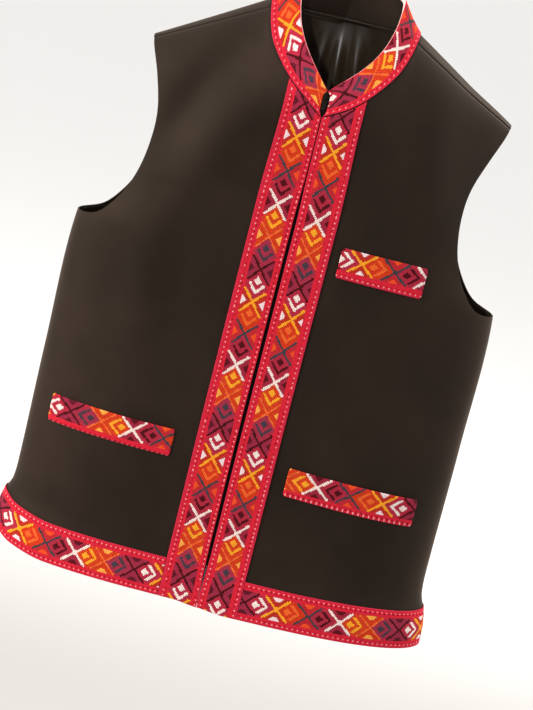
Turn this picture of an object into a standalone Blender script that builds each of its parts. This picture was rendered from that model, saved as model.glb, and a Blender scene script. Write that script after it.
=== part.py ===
"""Sleeveless vest with a stand collar, a zip down the front, three welt pockets and a woven trim.

Metres, +Z up, front towards -Y, the wearer's left towards +X. The origin lies between the shoulders,
level with their highest line at the neck, where a figure inside holds the garment up.
"""
import math
from collections import namedtuple

import bmesh
import bpy
from mathutils import Matrix, Vector

# Driving sizes
BODY_LENGTH = 0.695  # shoulder at the neck down to the hem
UNDERARM_DROP = 0.289
SHOULDER_DROP = 0.0727
SHOULDER_HALF = 0.2045
SEAM_FORWARD = 0.0095  # how far below the crest the shoulder seam lies at the neck
SEAM_FORWARD_TIP = 0.0035  # and at the shoulder's tip
NECK_HALF = 0.084
TRIM_WIDTH = 0.045
TRIM_OUTER = 0.0474  # outer edge of the front trims, from the middle of the front
TRIM_DRAWN_IN = 0.0030  # how much the collar seam draws that edge in at the neck
COLLAR_LEAN = 0.0024  # the collar's top lies a little to the wearer's left
FRONT_OFFSET = 0.0060  # the wearer's left front hangs lower than the right by this
FRONT_OFFSET_FULL = 0.12  # how far below the neck it is reached
FRONT_OFFSET_REACH = 0.030  # the zip holds the two fronts level; within this they drift apart
GAP = 0.0003
SEAM = 0.0005  # between the middles of two walls that meet; their corners come 0.3 mm apart

# Cloth walls
SUITING = 0.0016
TRIM = 0.0013
LINING = 0.0010
WELT = 0.0020
ZIP_TAPE = 0.0008
LINING_INSET = 0.008  # how far the lining's edge stands back from the side seam
LINING_CLEAR = 0.0009  # between the lining and the cloth it lines
WELT_STAND = 0.0006  # how far a welt's top edge stands off, as a pocket's does
COLLAR_START = 0.034  # share of the collar's height at which its cloth starts, clear of the neck seam
COLLAR_TRIM_TOP = 1.015  # the trim reaches a little over the collar's top edge

# Zip
SLOT_HALF = 0.0036  # half the space between the two front edges
CHAIN_HALF = 0.0025
CHAIN_DEEP = 0.0016
TAPE_REACH = 0.0140
ZIP_SET_BACK = 0.0006  # how much deeper the zip lies between the collar's ends

# Shape of the hollow: how square a level section is, and how the shoulders round over
SECTION_POWER = 3.0
CREST_POWER = 1.6
CREST_REACH = 0.150
NECK_SLOPE = 1.0

Section = namedtuple("Section", "height half_width front back")
SECTIONS = (
    Section(-0.695, 0.2620, 0.0770, 0.0720),
    Section(-0.672, 0.2605, 0.0745, 0.0700),
    Section(-0.650, 0.2560, 0.0705, 0.0665),
    Section(-0.636, 0.2515, 0.0680, 0.0640),
    Section(-0.610, 0.2495, 0.0670, 0.0630),
    Section(-0.450, 0.2490, 0.0670, 0.0630),
    Section(-0.289, 0.2460, 0.0650, 0.0620),
    Section(-0.245, 0.2270, 0.0640, 0.0610),
    Section(-0.183, 0.2140, 0.0630, 0.0600),
    Section(-0.120, 0.2150, 0.0610, 0.0580),
    Section(-0.073, 0.2240, 0.0580, 0.0560),
    Section(0.000, 0.2300, 0.0560, 0.0550),
    Section(0.100, 0.2300, 0.0560, 0.0550),
)

# Edges of the pieces, as seen from the front
Edge = namedtuple("Edge", "x height")
ARMHOLE = (
    Edge(0.2460, -0.2890),
    Edge(0.2205, -0.2810),
    Edge(0.1990, -0.2540),
    Edge(0.1855, -0.2210),
    Edge(0.1795, -0.1830),
    Edge(0.1805, -0.1490),
    Edge(0.1900, -0.1140),
    Edge(0.2010, -0.0860),
)
FRONT_NECK = (
    Edge(0.0036, -0.1075),
    Edge(0.0260, -0.0925),
    Edge(0.0435, -0.0785),
    Edge(0.0610, -0.0595),
    Edge(0.0735, -0.0415),
    Edge(0.0810, -0.0220),
    Edge(0.0836, -0.0090),
)
BACK_NECK = (
    Edge(0.0000, -0.0060),
    Edge(0.0300, -0.0060),
    Edge(0.0600, -0.0050),
    Edge(0.0780, -0.0025),
    Edge(0.0840, 0.0000),
)

# Top edge of the collar, a row for each row of the neck edge from the front end to the middle of the back
Rim = namedtuple("Rim", "x y height")
COLLAR_RIM = (
    Rim(0.0036, -0.0505, -0.0790),
    Rim(0.0180, -0.0485, -0.0640),
    Rim(0.0305, -0.0440, -0.0505),
    Rim(0.0420, -0.0365, -0.0350),
    Rim(0.0505, -0.0270, -0.0190),
    Rim(0.0560, -0.0150, -0.0020),
    Rim(0.0580, -0.0050, 0.0100),
    Rim(0.0585, 0.0040, 0.0220),
    Rim(0.0570, 0.0150, 0.0295),
    Rim(0.0460, 0.0285, 0.0320),
    Rim(0.0240, 0.0380, 0.0320),
    Rim(0.0000, 0.0440, 0.0320),
)

# Half the space between the trims' front edges at each height
Slot = namedtuple("Slot", "height half")
TRIM_SLOT = (
    Slot(-0.695, 0.0008),
    Slot(-0.676, 0.0008),
    Slot(-0.655, 0.0014),
    Slot(-0.620, 0.0019),
    Slot(-0.230, 0.0019),
    Slot(-0.190, 0.0010),
    Slot(-0.165, 0.0006),
    Slot(-0.108, 0.0006),
)
# The same along the collar's front end, by the share of its height: a leaf-shaped gap for the pull tab
COLLAR_SLOT = (
    Slot(0.00, 0.0012),
    Slot(0.16, 0.0034),
    Slot(0.50, 0.0042),
    Slot(0.80, 0.0036),
    Slot(0.92, 0.0018),
    Slot(1.00, 0.0009),
)

# The closed fronts meet on a line that strays from the middle: how far, towards the wearer's left
Meeting = namedtuple("Meeting", "height stray")
MEETING = (
    Meeting(-0.695, -0.0038),
    Meeting(-0.620, -0.0036),
    Meeting(-0.480, -0.0032),
    Meeting(-0.380, -0.0023),
    Meeting(-0.290, -0.0014),
    Meeting(-0.220, -0.0007),
    Meeting(-0.140, 0.0000),
    Meeting(0.000, 0.0000),
)
STRAY_REACH = 0.200  # how far out to the sides the cloth follows it

# Soft ridges and troughs in the cloth: from one end to the other, half width and height
Fold = namedtuple("Fold", "back x height to_x to_height half_width rise")
FOLDS = (
    Fold(False, -0.105, -0.060, -0.150, -0.190, 0.026, 0.0045),
    Fold(False, -0.175, -0.240, -0.120, -0.420, 0.034, 0.0030),
    Fold(False, 0.120, -0.070, 0.150, -0.200, 0.028, 0.0030),
    Fold(False, 0.205, -0.300, 0.170, -0.470, 0.030, -0.0035),
    Fold(False, 0.150, -0.560, 0.110, -0.640, 0.030, 0.0025),
    Fold(True, -0.120, -0.080, -0.060, -0.300, 0.032, 0.0040),
    Fold(True, 0.130, -0.080, 0.075, -0.330, 0.030, 0.0035),
    Fold(True, 0.000, -0.340, 0.010, -0.600, 0.040, -0.0045),
    Fold(True, -0.180, -0.310, -0.150, -0.560, 0.030, 0.0035),
    Fold(True, 0.185, -0.330, 0.150, -0.600, 0.030, 0.0030),
)

Welt = namedtuple("Welt", "name x height wide high fall")
WELTS = (
    Welt("chest_welt", 0.1082, -0.2598, 0.0980, 0.0335, -0.0027),
    Welt("pocket_welt_left", 0.1390, -0.5250, 0.1500, 0.0325, -0.0076),
    Welt("pocket_welt_right", -0.1480, -0.5155, 0.1490, 0.0310, 0.0010),
)


def between(rows, column, key):
    """Smooth value of a table's column at a key, which is the table's first column."""
    spot = max(k for k in range(len(rows) - 1) if k == 0 or rows[k][0] <= key)
    low, high = rows[spot], rows[spot + 1]
    before, after = rows[max(spot - 1, 0)], rows[min(spot + 2, len(rows) - 1)]
    span = high[0] - low[0]
    share = min(max((key - low[0]) / span, 0.0), 1.0)
    start = (high[column] - before[column]) / (high[0] - before[0]) * span
    end = (after[column] - low[column]) / (after[0] - low[0]) * span
    cube = share ** 3
    square = share ** 2
    return (
        (2 * cube - 3 * square + 1) * low[column]
        + (cube - 2 * square + share) * start
        + (3 * square - 2 * cube) * high[column]
        + (cube - square) * end
    )


def through(rows, share):
    """Point at a share, from 0 to 1, of the smooth curve through a table's rows."""
    last = len(rows) - 1
    place = min(max(share, 0.0), 1.0) * last
    spot = min(int(place), last - 1)
    f = place - spot
    four = (rows[max(spot - 1, 0)], rows[spot], rows[spot + 1], rows[min(spot + 2, last)])
    return tuple(
        b + 0.5 * f * (c - a + f * (2 * a - 5 * b + 4 * c - d + f * (3 * (b - c) + d - a)))
        for a, b, c, d in zip(*four)
    )


def soft_step(value):
    """Smooth rise from 0 to 1."""
    value = min(max(value, 0.0), 1.0)
    return value * value * (3 - 2 * value)


def crest(x):
    """Height of the line where front and back meet over the shoulder."""
    beyond = abs(x) - NECK_HALF
    if beyond < 0:
        return -beyond * NECK_SLOPE
    return -beyond * SHOULDER_DROP / (SHOULDER_HALF - NECK_HALF)


def fold_rise(x, height, back):
    """How far the soft folds lift the cloth at a place on the front or the back."""
    rise = 0.0
    for fold in FOLDS:
        if fold.back != back:
            continue
        start = Vector((fold.x, fold.height))
        along = Vector((fold.to_x, fold.to_height)) - start
        here = Vector((x, height)) - start
        share = min(max(here.dot(along) / along.length_squared, 0.0), 1.0)
        away = (here - along * share).length / fold.half_width
        rise += fold.rise * math.exp(-away * away) * (0.4 + 0.6 * math.sin(math.pi * share))
    return rise


def openness(x, height):
    """Square of the share of the full depth that the hollow has at a place."""
    half_width = between(SECTIONS, 1, height)
    side = 1 - (abs(x) / half_width) ** SECTION_POWER
    below = min((crest(x) - height) / CREST_REACH, 1.0)
    return side * (1 - (1 - below) ** CREST_POWER)


def full_depth(x, height, back):
    """Depth of the hollow before the section and the shoulders narrow it."""
    return between(SECTIONS, 3 if back else 2, height) + fold_rise(x, height, back)


def skin(x, height, back=False, out=0.0):
    """Point of the garment's middle surface, moved out along its normal."""
    way = 1.0 if back else -1.0
    deep = full_depth(x, height, back)
    y = way * deep * math.sqrt(max(openness(x, height), 0.0))

    def level(px, py, pz):
        return (py / full_depth(px, pz, back)) ** 2 - openness(px, pz)

    step = 0.00002
    normal = Vector((
        level(x + step, y, height) - level(x - step, y, height),
        level(x, y + step, height) - level(x, y - step, height),
        level(x, y, height + step) - level(x, y, height - step),
    )).normalized()
    return settled(Vector((x, y, height)) + normal * out)


def settled(point):
    """A point after the two fronts have settled unevenly."""
    stray = 0.0
    if point.y < 0:
        stray = between(MEETING, 1, point.z) * (1 - soft_step(abs(point.x) / STRAY_REACH))
        side = math.copysign(soft_step(abs(point.x) / FRONT_OFFSET_REACH), point.x)
    else:
        side = min(max(point.x / between(SECTIONS, 1, point.z), -1.0), 1.0)
    share = soft_step(-point.z / FRONT_OFFSET_FULL)
    return point + Vector((stray, 0, -side * share * FRONT_OFFSET / 2))


def side_seam(height, away):
    """Half width at which the surface lies a little in front of, or behind, the side line."""
    half_width = between(SECTIONS, 1, height)
    share = (away / full_depth(half_width, height, False)) ** 2
    return half_width * (1 - share) ** (1 / SECTION_POWER)


def shoulder_seam(x):
    """Height of the seam that joins front and back, a little forward of the crest."""
    share = (abs(x) - NECK_HALF) / (SHOULDER_HALF - NECK_HALF)
    return crest(x) - SEAM_FORWARD + (SEAM_FORWARD - SEAM_FORWARD_TIP) * share


def neck_height(x):
    """Height of the front neck edge above a place on the front."""
    return between(FRONT_NECK, 1, max(abs(x), FRONT_NECK[0].x))


# Heights of the rows of points from the hem to the underarm, the same for every piece there
HEM_ROWS = [-BODY_LENGTH + TRIM_WIDTH * share for share in (0, 1 / 3, 2 / 3, 1)]
LOW_ROWS = HEM_ROWS + [-0.636, -0.612, -0.560, -0.500, -0.440, -0.380, -0.330, -UNDERARM_DROP]
COLUMNS = 13


def column_share(column):
    """Share of the way from the middle to the side, closer together where the side rounds away."""
    return math.sin(math.pi / 2 * column / COLUMNS)


def wall(name, grids, thick, paint):
    """A sheet of cloth: one or more grids of points, welded where they meet, given a thickness."""
    shape = bmesh.new()
    for grid in grids:
        rows = [[shape.verts.new(point) for point in row] for row in grid]
        for lower, upper in zip(rows, rows[1:]):
            for k in range(len(lower) - 1):
                shape.faces.new((lower[k], lower[k + 1], upper[k + 1]))
                shape.faces.new((lower[k], upper[k + 1], upper[k]))
    bmesh.ops.remove_doubles(shape, verts=shape.verts, dist=0.00002)
    mesh = bpy.data.meshes.new(name)
    shape.to_mesh(mesh)
    shape.free()
    piece = bpy.data.objects.new(name, mesh)
    body.objects.link(piece)
    mesh.materials.append(paint)
    mesh.shade_smooth()
    thickness = piece.modifiers.new("Cloth wall", "SOLIDIFY")
    thickness.thickness = thick
    thickness.offset = 0.0
    return piece


def finish(name, colour, rough, metal=0.0):
    """Principled material of one piece."""
    paint = bpy.data.materials.new(name)
    paint.use_nodes = True
    shader = paint.node_tree.nodes["Principled BSDF"]
    shader.inputs["Base Color"].default_value = (*colour, 1.0)
    shader.inputs["Roughness"].default_value = rough
    shader.inputs["Metallic"].default_value = metal
    return paint


def flipped(grid):
    """The same grid with its rows run the other way, so that its faces look out on the other side."""
    return [list(reversed(row)) for row in grid]


def front_panel(side):
    """Rows of one front, from the zip's edge out to the side seam and armhole; side is -1 or 1."""
    rows = []
    for height in LOW_ROWS:
        edge, outer = SLOT_HALF, side_seam(height, SEAM / 2)
        rows.append([(edge + (outer - edge) * column_share(k), height) for k in range(COLUMNS + 1)])
    straight = (-0.240, -0.195, -0.150)
    inner = [Edge(SLOT_HALF, height) for height in straight]
    inner += [Edge(*through(FRONT_NECK, k / 8)) for k in range(9)]
    tip = Edge(SHOULDER_HALF - 0.0005, shoulder_seam(SHOULDER_HALF))
    outline = ARMHOLE + (tip,)
    count = len(inner)
    for k, start in enumerate(inner):
        end = Edge(*through(outline, (k + 1) / count))
        rows.append([
            tuple(a + (b - a) * column_share(c) for a, b in zip(start, end)) for c in range(COLUMNS + 1)
        ])
    return [[skin(side * x, height) for x, height in row] for row in rows]


def back_panel(side, out=0.0, inset=0.0, low_rows=LOW_ROWS, over_crest=True):
    """Rows of one half of the back, from its middle out to the side seam and armhole."""
    rows = []
    for height in low_rows:
        outer = side_seam(height, SEAM / 2 + inset)
        rows.append([(outer * column_share(k), height, True) for k in range(COLUMNS + 1)])
    straight = [-0.240, -0.195, -0.150, -0.110, -0.070, -0.035]
    inner = [Edge(0.0, height) for height in straight]
    inner += [Edge(*through(BACK_NECK, k / 6)) for k in range(7)]
    if not over_crest:
        inner = inner[:-2]
    outline = ARMHOLE + (Edge(SHOULDER_HALF, -SHOULDER_DROP),)
    count = 13
    for k, start in enumerate(inner):
        end = through(outline, (k + 1) / count)
        end = (end[0] - inset / 2, end[1])
        rows.append([
            tuple(a + (b - a) * column_share(c) for a, b in zip(start, end)) + (True,)
            for c in range(COLUMNS + 1)
        ])
    for share in (0.35, 1.0) if over_crest else ():
        line = []
        for c in range(COLUMNS + 1):
            x = NECK_HALF + (SHOULDER_HALF - NECK_HALF) * column_share(c)
            drop = (crest(x) - shoulder_seam(x) - SEAM) * share
            line.append((x, crest(x) - drop, False))
        rows.append(line)
    return [[skin(side * x, height, back, out) for x, height, back in row] for row in rows]


def lay_on_front(name, grid, thick, paint, side):
    """A piece that lies on a front: rows of places on it, moved out from the front's own surface."""
    out = SUITING / 2 + GAP + thick / 2
    points = [[skin(x, height, False, out + extra) for x, height, extra in row] for row in grid]
    return wall(name, [points if side > 0 else flipped(points)], thick, paint)


def slot_half(height):
    """Half the space between the front trims at a height."""
    return between(TRIM_SLOT, 1, height)


def trim_outer(height):
    """Outer edge of the front trims at a height."""
    return TRIM_OUTER - TRIM_DRAWN_IN * soft_step((height + 0.22) / 0.13)


def front_trim(side):
    """Places of the woven trim along one front edge, from the hem to the neck."""
    shares = [k / 5 for k in range(6)]
    heights = LOW_ROWS + [-0.240, -0.195, -0.150]
    rows = []
    for height in heights:
        inner, outer = slot_half(height), trim_outer(height)
        rows.append([(side * (inner + (outer - inner) * s), height, 0.0) for s in shares])
    for share in (0.2, 0.4, 0.6, 0.8, 1.0):
        inner, outer = slot_half(FRONT_NECK[0].height), trim_outer(-0.150 + 0.070 * share)
        row = []
        for s in shares:
            x = inner + (outer - inner) * s
            top = neck_height(x) - 2 * GAP
            row.append((side * x, -0.150 + (top + 0.150) * share, 0.0))
        rows.append(row)
    return rows


def hem_trim(side):
    """Places of the hem trim on one front, from the front trim round to the side seam."""
    start = TRIM_OUTER + GAP
    rows = []
    for height in HEM_ROWS:
        outer = side_seam(height, SEAM / 2)
        across = [SLOT_HALF + (outer - SLOT_HALF) * column_share(k) for k in range(COLUMNS + 1)]
        across = [start] + [x for x in across if x > start + 0.004]
        rows.append([(side * x, height, 0.0) for x in across])
    return rows


def hem_trim_back():
    """Points of the hem trim round the back, from one side seam to the other."""
    out = SUITING / 2 + GAP + TRIM / 2
    rows = []
    for height in HEM_ROWS:
        outer = side_seam(height, SEAM / 2)
        across = [outer * column_share(k) for k in range(COLUMNS + 1)]
        places = [-x for x in reversed(across[1:])] + across
        rows.append([skin(x, height, True, out) for x in places])
    return rows


def welt_rows(welt):
    """Places of a pocket welt on its front; its top edge stands a little clear, as a pocket's does."""
    columns, levels = 12, 3
    rows = []
    for level in range(levels + 1):
        up = level / levels
        row = []
        for k in range(columns + 1):
            across = k / columns - 0.5
            height = welt.height + (up - 0.5) * welt.high + across * welt.fall
            row.append((welt.x + across * welt.wide, height, WELT_STAND * up * up))
        rows.append(row)
    return rows


def neck_ring():
    """Points of the neck seam, in the order of the collar's rim: up the front edge, then down the back's."""
    ring = []
    for edges, back, way in ((FRONT_NECK, False, -1), (tuple(reversed(BACK_NECK)), True, 1)):
        for x, height in edges:
            deep = full_depth(x, height, back) * math.sqrt(max(openness(x, height), 0.0))
            ring.append(Rim(x, way * deep, height))
    return ring


NECK_RING = neck_ring()


def collar_point(turn, up, out=0.0):
    """Point of the collar: turn runs from -1 to 1 round the neck from end to end, up is 0 to 1."""
    side = 1.0 if turn >= 0 else -1.0

    def middle(along, rise):
        foot = Vector(through(NECK_RING, along))
        rim = Vector(through(COLLAR_RIM, along))
        return foot + (rim - foot) * rise

    along = 1 - abs(turn)
    step = 0.004
    here = middle(along, up)
    across = middle(min(along + step, 1.0), up) - middle(max(along - step, 0.0), up)
    rising = middle(along, 1.0) - middle(along, 0.0)
    normal = across.cross(rising).normalized()
    point = here + normal * out
    point = Vector((side * point.x + COLLAR_LEAN * up * soft_step(along * 3), point.y, point.z))
    return settled(point)


COLLAR_COLUMNS = 16
COLLAR_LEVELS = 4


def collar_turns():
    """Turns of the collar's columns, closer together near the front ends."""
    half = [(1 - (k / COLLAR_COLUMNS) ** 1.15) for k in range(COLLAR_COLUMNS + 1)]
    return [-turn for turn in half] + list(reversed(half[:-1]))


def slid_to(point, neighbour, x):
    """A point slid along the line to its neighbour until it lies at x."""
    return point + (neighbour - point) * ((x - point.x) / (neighbour.x - point.x))


def collar_wall(out, low, high, ends=None):
    """Grid of a layer of the collar; ends gives how far its front ends stand from the middle."""
    rows = []
    for level in range(COLLAR_LEVELS + 1):
        up = low + (high - low) * level / COLLAR_LEVELS
        row = [collar_point(turn, up, out) for turn in collar_turns()]
        if ends:
            half = between(ends, 1, up)
            row[0] = slid_to(row[0], row[1], -half)
            row[-1] = slid_to(row[-1], row[-2], half)
        rows.append(row)
    return rows


def zip_line(inward):
    """Line up the middle of the front and on up the collar's front end, moved in from the cloth."""
    places = [skin(0.0, height, False, -inward) for height in LOW_ROWS[1:] + [-0.240, -0.195, -0.150, -0.116]]
    foot = skin(0.0, FRONT_NECK[0].height)
    rim = Vector((0.0, COLLAR_RIM[0].y, COLLAR_RIM[0].height))
    normal = Vector((0.0, foot.z - rim.z, rim.y - foot.y)).normalized()
    places += [foot + (rim - foot) * share - normal * (inward + ZIP_SET_BACK) for share in (0.12, 0.45, 0.80)]
    return places


def zip_strip(name, low_x, high_x, inward, thick, paint):
    """A strip of the zip along its line."""
    line = zip_line(inward)
    grid = [[place + Vector((x, 0, 0)) for x in (low_x, (low_x + high_x) / 2, high_x)] for place in line]
    return wall(name, [grid], thick, paint)


def block(name, size, place, rounding):
    """A small solid with rounded edges, at a place in the slider's own frame."""
    shape = bmesh.new()
    bmesh.ops.create_cube(shape, size=1.0)
    bmesh.ops.transform(shape, matrix=Matrix.Translation(place) @ Matrix.Diagonal((*size, 1.0)), verts=shape.verts)
    mesh = bpy.data.meshes.new(name)
    shape.to_mesh(mesh)
    shape.free()
    piece = bpy.data.objects.new(name, mesh)
    if rounding:
        bevel = piece.modifiers.new("Rounded edges", "BEVEL")
        bevel.width = rounding
        bevel.segments = 2
    return piece


def combine(piece, tool, how):
    """Boolean of one placed solid with another in the same frame, kept as a hidden cutter."""
    tools.objects.link(tool)
    tool.matrix_world = piece.matrix_world
    tool.hide_render = True
    tool.display_type = "WIRE"
    step = piece.modifiers.new(tool.name, "BOOLEAN")
    step.operation = how
    step.solver = "EXACT"
    step.object = tool


# Slider and pull tab, in a frame whose X is across, Y is out from the collar's end and Z is up along it
PLATE_FACE = CHAIN_DEEP / 2 + GAP
PLATE_THICK = 0.0010
SLIDER_HIGH = 0.0080
SLIDER_WIDE = 0.0058
PIN_RADIUS = 0.0005
PIN_LIFT = 0.0009  # pin's middle above the plate
BRIDGE_RADIUS = 0.0005
BRIDGE_HALF = 0.0030
TAB_LONG = 0.0155
TAB_WIDE = 0.0046
TAB_THICK = 0.0010
SLIDER_SHARE = 0.70  # how far up the collar's end the slider sits


def slider_frame():
    """Matrix that places the slider's own frame on the collar's front end."""
    foot = skin(0.0, FRONT_NECK[0].height)
    foot.x = 0.0
    rim = Vector((0.0, COLLAR_RIM[0].y, COLLAR_RIM[0].height))
    up = (rim - foot).normalized()
    out = Vector((0.0, -up.z, up.y))
    place = foot + (rim - foot) * SLIDER_SHARE - out * ZIP_SET_BACK
    across = out.cross(up)
    turned = Matrix((across, out, up)).transposed().to_4x4()
    return Matrix.Translation(place) @ turned


def bridge():
    """Small wire arch on the slider that holds the tab's pin."""
    curve = bpy.data.curves.new("bridge", "CURVE")
    curve.dimensions = "3D"
    curve.bevel_depth = BRIDGE_RADIUS
    curve.bevel_resolution = 2
    curve.use_fill_caps = True
    line = curve.splines.new("POLY")
    base = PLATE_FACE + PLATE_THICK - 0.0003
    peak = PLATE_FACE + PLATE_THICK + PIN_LIFT + PIN_RADIUS + GAP + BRIDGE_RADIUS
    count = 9
    line.points.add(count - 1)
    for k in range(count):
        turn = math.pi * k / (count - 1)
        away = -math.cos(turn) * BRIDGE_HALF
        lift = base + (peak - base) * math.sin(turn) ** 0.6
        line.points[k].co = (0.0, lift, away, 1.0)
    wire = bpy.data.objects.new("bridge wire", curve)
    tools.objects.link(wire)
    bpy.context.view_layer.update()
    seen = wire.evaluated_get(bpy.context.evaluated_depsgraph_get())
    mesh = bpy.data.meshes.new_from_object(seen)
    shape = bmesh.new()
    shape.from_mesh(mesh)
    bmesh.ops.remove_doubles(shape, verts=shape.verts, dist=0.00001)
    bmesh.ops.recalc_face_normals(shape, faces=shape.faces)
    shape.to_mesh(mesh)
    shape.free()
    bpy.data.objects.remove(wire)
    return bpy.data.objects.new("bridge", mesh)


def slider(paint):
    """Zip slider: a rounded plate over the chain with its bridge."""
    middle = PLATE_FACE + PLATE_THICK / 2
    piece = block("zip_slider", (SLIDER_WIDE, PLATE_THICK, SLIDER_HIGH), (0, middle, 0), 0.0004)
    piece.data.materials.append(paint)
    body.objects.link(piece)
    piece.matrix_world = slider_frame()
    combine(piece, bridge(), "UNION")
    return piece


def pull_tab(paint):
    """Pull tab, its origin on its pin's axis."""
    drop = PIN_RADIUS - TAB_LONG / 2
    piece = block("zip_pull_tab", (TAB_WIDE, TAB_THICK, TAB_LONG), (0, 0, drop), 0.0004)
    piece.data.materials.append(paint)
    body.objects.link(piece)
    lift = PLATE_FACE + PLATE_THICK + PIN_LIFT
    piece.matrix_world = slider_frame() @ Matrix.Translation((0, lift, 0))
    window_high = BRIDGE_HALF + BRIDGE_RADIUS + 2 * GAP
    window = block("tab window", (0.0022, 0.01, window_high), (0, 0, -PIN_RADIUS - window_high / 2), 0)
    combine(piece, window, "DIFFERENCE")
    return piece


for thing in list(bpy.data.objects):
    bpy.data.objects.remove(thing)
body = bpy.data.collections.new("vest")
tools = bpy.data.collections.new("cutters")
bpy.context.scene.collection.children.link(body)
bpy.context.scene.collection.children.link(tools)

suiting = finish("Dark wool suiting", (0.022, 0.017, 0.014), 0.8)
lining = finish("Satin lining", (0.030, 0.024, 0.017), 0.4)
woven = finish("Red woven trim", (0.45, 0.02, 0.03), 0.75)
tape = finish("Zip tape", (0.03, 0.008, 0.010), 0.8)
dark_metal = finish("Blackened zip metal", (0.03, 0.028, 0.027), 0.35, 0.9)

for side, hand in ((-1, "right"), (1, "left")):
    panel = front_panel(side)
    wall(f"front_{hand}", [panel if side > 0 else flipped(panel)], SUITING, suiting)
    lay_on_front(f"front_trim_{hand}", front_trim(side), TRIM, woven, side)
    lay_on_front(f"hem_trim_{hand}", hem_trim(side), TRIM, woven, side)
    near, far = 0.0002, TAPE_REACH
    low_x, high_x = (near, far) if side > 0 else (-far, -near)
    zip_strip(f"zip_tape_{hand}", low_x, high_x, SUITING / 2 + GAP + ZIP_TAPE / 2, ZIP_TAPE, tape)

halves = [flipped(back_panel(1)), back_panel(-1)]
wall("back", halves, SUITING, suiting)
lining_out = -(SUITING / 2 + LINING_CLEAR + LINING / 2)
halves = [back_panel(side, lining_out, LINING_INSET, LOW_ROWS[2:], False) for side in (1, -1)]
wall("back_lining", [flipped(halves[0]), halves[1]], LINING, lining)
wall("hem_trim_back", [flipped(hem_trim_back())], TRIM, woven)

wall("collar_stand", [collar_wall(0.0, COLLAR_START, 1.0)], SUITING, suiting)
trim_out = SUITING / 2 + GAP + TRIM / 2
wall("collar_trim", [collar_wall(trim_out, COLLAR_START, COLLAR_TRIM_TOP, COLLAR_SLOT)], TRIM, woven)

for welt in WELTS:
    lay_on_front(welt.name, welt_rows(welt), WELT, woven, 1)

zip_strip("zip_chain", -CHAIN_HALF, CHAIN_HALF, 0.0, CHAIN_DEEP, dark_metal)
slider(dark_metal)
pull_tab(dark_metal)
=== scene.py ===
"""Looks of a sleeveless vest: dark suiting, a red woven trim, a zip and a satin lining.

Metres, +Z up, front towards -Y, the wearer's left towards +X, the origin between the shoulders.
"""
import math

import bmesh
import bpy
import numpy as np
from mathutils import Matrix, Vector


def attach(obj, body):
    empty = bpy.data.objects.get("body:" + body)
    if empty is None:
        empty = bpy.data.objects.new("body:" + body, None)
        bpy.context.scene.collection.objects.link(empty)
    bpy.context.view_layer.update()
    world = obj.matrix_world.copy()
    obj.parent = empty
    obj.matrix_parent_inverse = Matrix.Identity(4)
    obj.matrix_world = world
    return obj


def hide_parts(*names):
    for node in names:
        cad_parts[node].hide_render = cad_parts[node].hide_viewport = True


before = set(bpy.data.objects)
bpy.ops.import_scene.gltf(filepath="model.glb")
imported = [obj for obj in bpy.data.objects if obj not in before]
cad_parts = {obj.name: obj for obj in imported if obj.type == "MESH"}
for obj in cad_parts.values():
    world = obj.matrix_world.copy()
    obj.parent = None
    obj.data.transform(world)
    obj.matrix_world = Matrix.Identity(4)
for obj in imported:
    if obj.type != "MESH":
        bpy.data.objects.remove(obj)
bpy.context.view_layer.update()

# Fronts. Two pieces of dark worsted suiting, cut from neck and armhole to hem, pressed, turned in at their
# edges and sewn at shoulder and side. They stand filled out with no wearer, so each is a thin shell that
# follows the hollow's level sections, with the soft folds that the cloth keeps.
SUITING_THICK = 0.0016
SEAM = 0.0001  # left between two pieces at the seam that joins them
PRESSED_IN = 0.0009  # how far the pressed shoulder seam lies in
SLOT_HALF = 0.0036  # from the meeting line to each front's turned edge
NECK_HALF = 0.084
SHOULDER_HALF = 0.2045
SHOULDER_DROP = 0.0727
UNDERARM = -0.289
HEM = -0.695
CREST_REACH = 0.150  # this far below the shoulder's crest the hollow has its full depth
CREST_POWER = 1.6
SECTION_POWER = 3.0
SECTIONS = (  # height, half width, depth of the front, depth of the back
    (-0.695, 0.2620, 0.0770, 0.0720),
    (-0.672, 0.2605, 0.0745, 0.0700),
    (-0.650, 0.2560, 0.0705, 0.0665),
    (-0.636, 0.2515, 0.0680, 0.0640),
    (-0.610, 0.2495, 0.0670, 0.0630),
    (-0.450, 0.2490, 0.0670, 0.0630),
    (-0.289, 0.2460, 0.0650, 0.0620),
    (-0.245, 0.2270, 0.0640, 0.0610),
    (-0.183, 0.2140, 0.0630, 0.0600),
    (-0.120, 0.2150, 0.0610, 0.0580),
    (-0.073, 0.2240, 0.0580, 0.0560),
    (0.000, 0.2300, 0.0560, 0.0550),
    (0.100, 0.2300, 0.0560, 0.0550),
)
ARMHOLE = (  # x, height
    (0.2460, -0.2890), (0.2205, -0.2810), (0.1990, -0.2540), (0.1855, -0.2210),
    (0.1795, -0.1830), (0.1805, -0.1490), (0.1900, -0.1140), (0.2010, -0.0860),
)
FRONT_NECK = (  # x, height
    (0.0036, -0.1075), (0.0260, -0.0925), (0.0435, -0.0785), (0.0610, -0.0595),
    (0.0735, -0.0415), (0.0810, -0.0220), (0.0836, -0.0090),
)
MEETING = (  # height, how far the line where the fronts meet strays towards the wearer's left
    (-0.695, -0.0038), (-0.620, -0.0036), (-0.480, -0.0032), (-0.380, -0.0023),
    (-0.290, -0.0014), (-0.220, -0.0007), (-0.140, 0.0000), (0.000, 0.0000),
)
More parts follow.
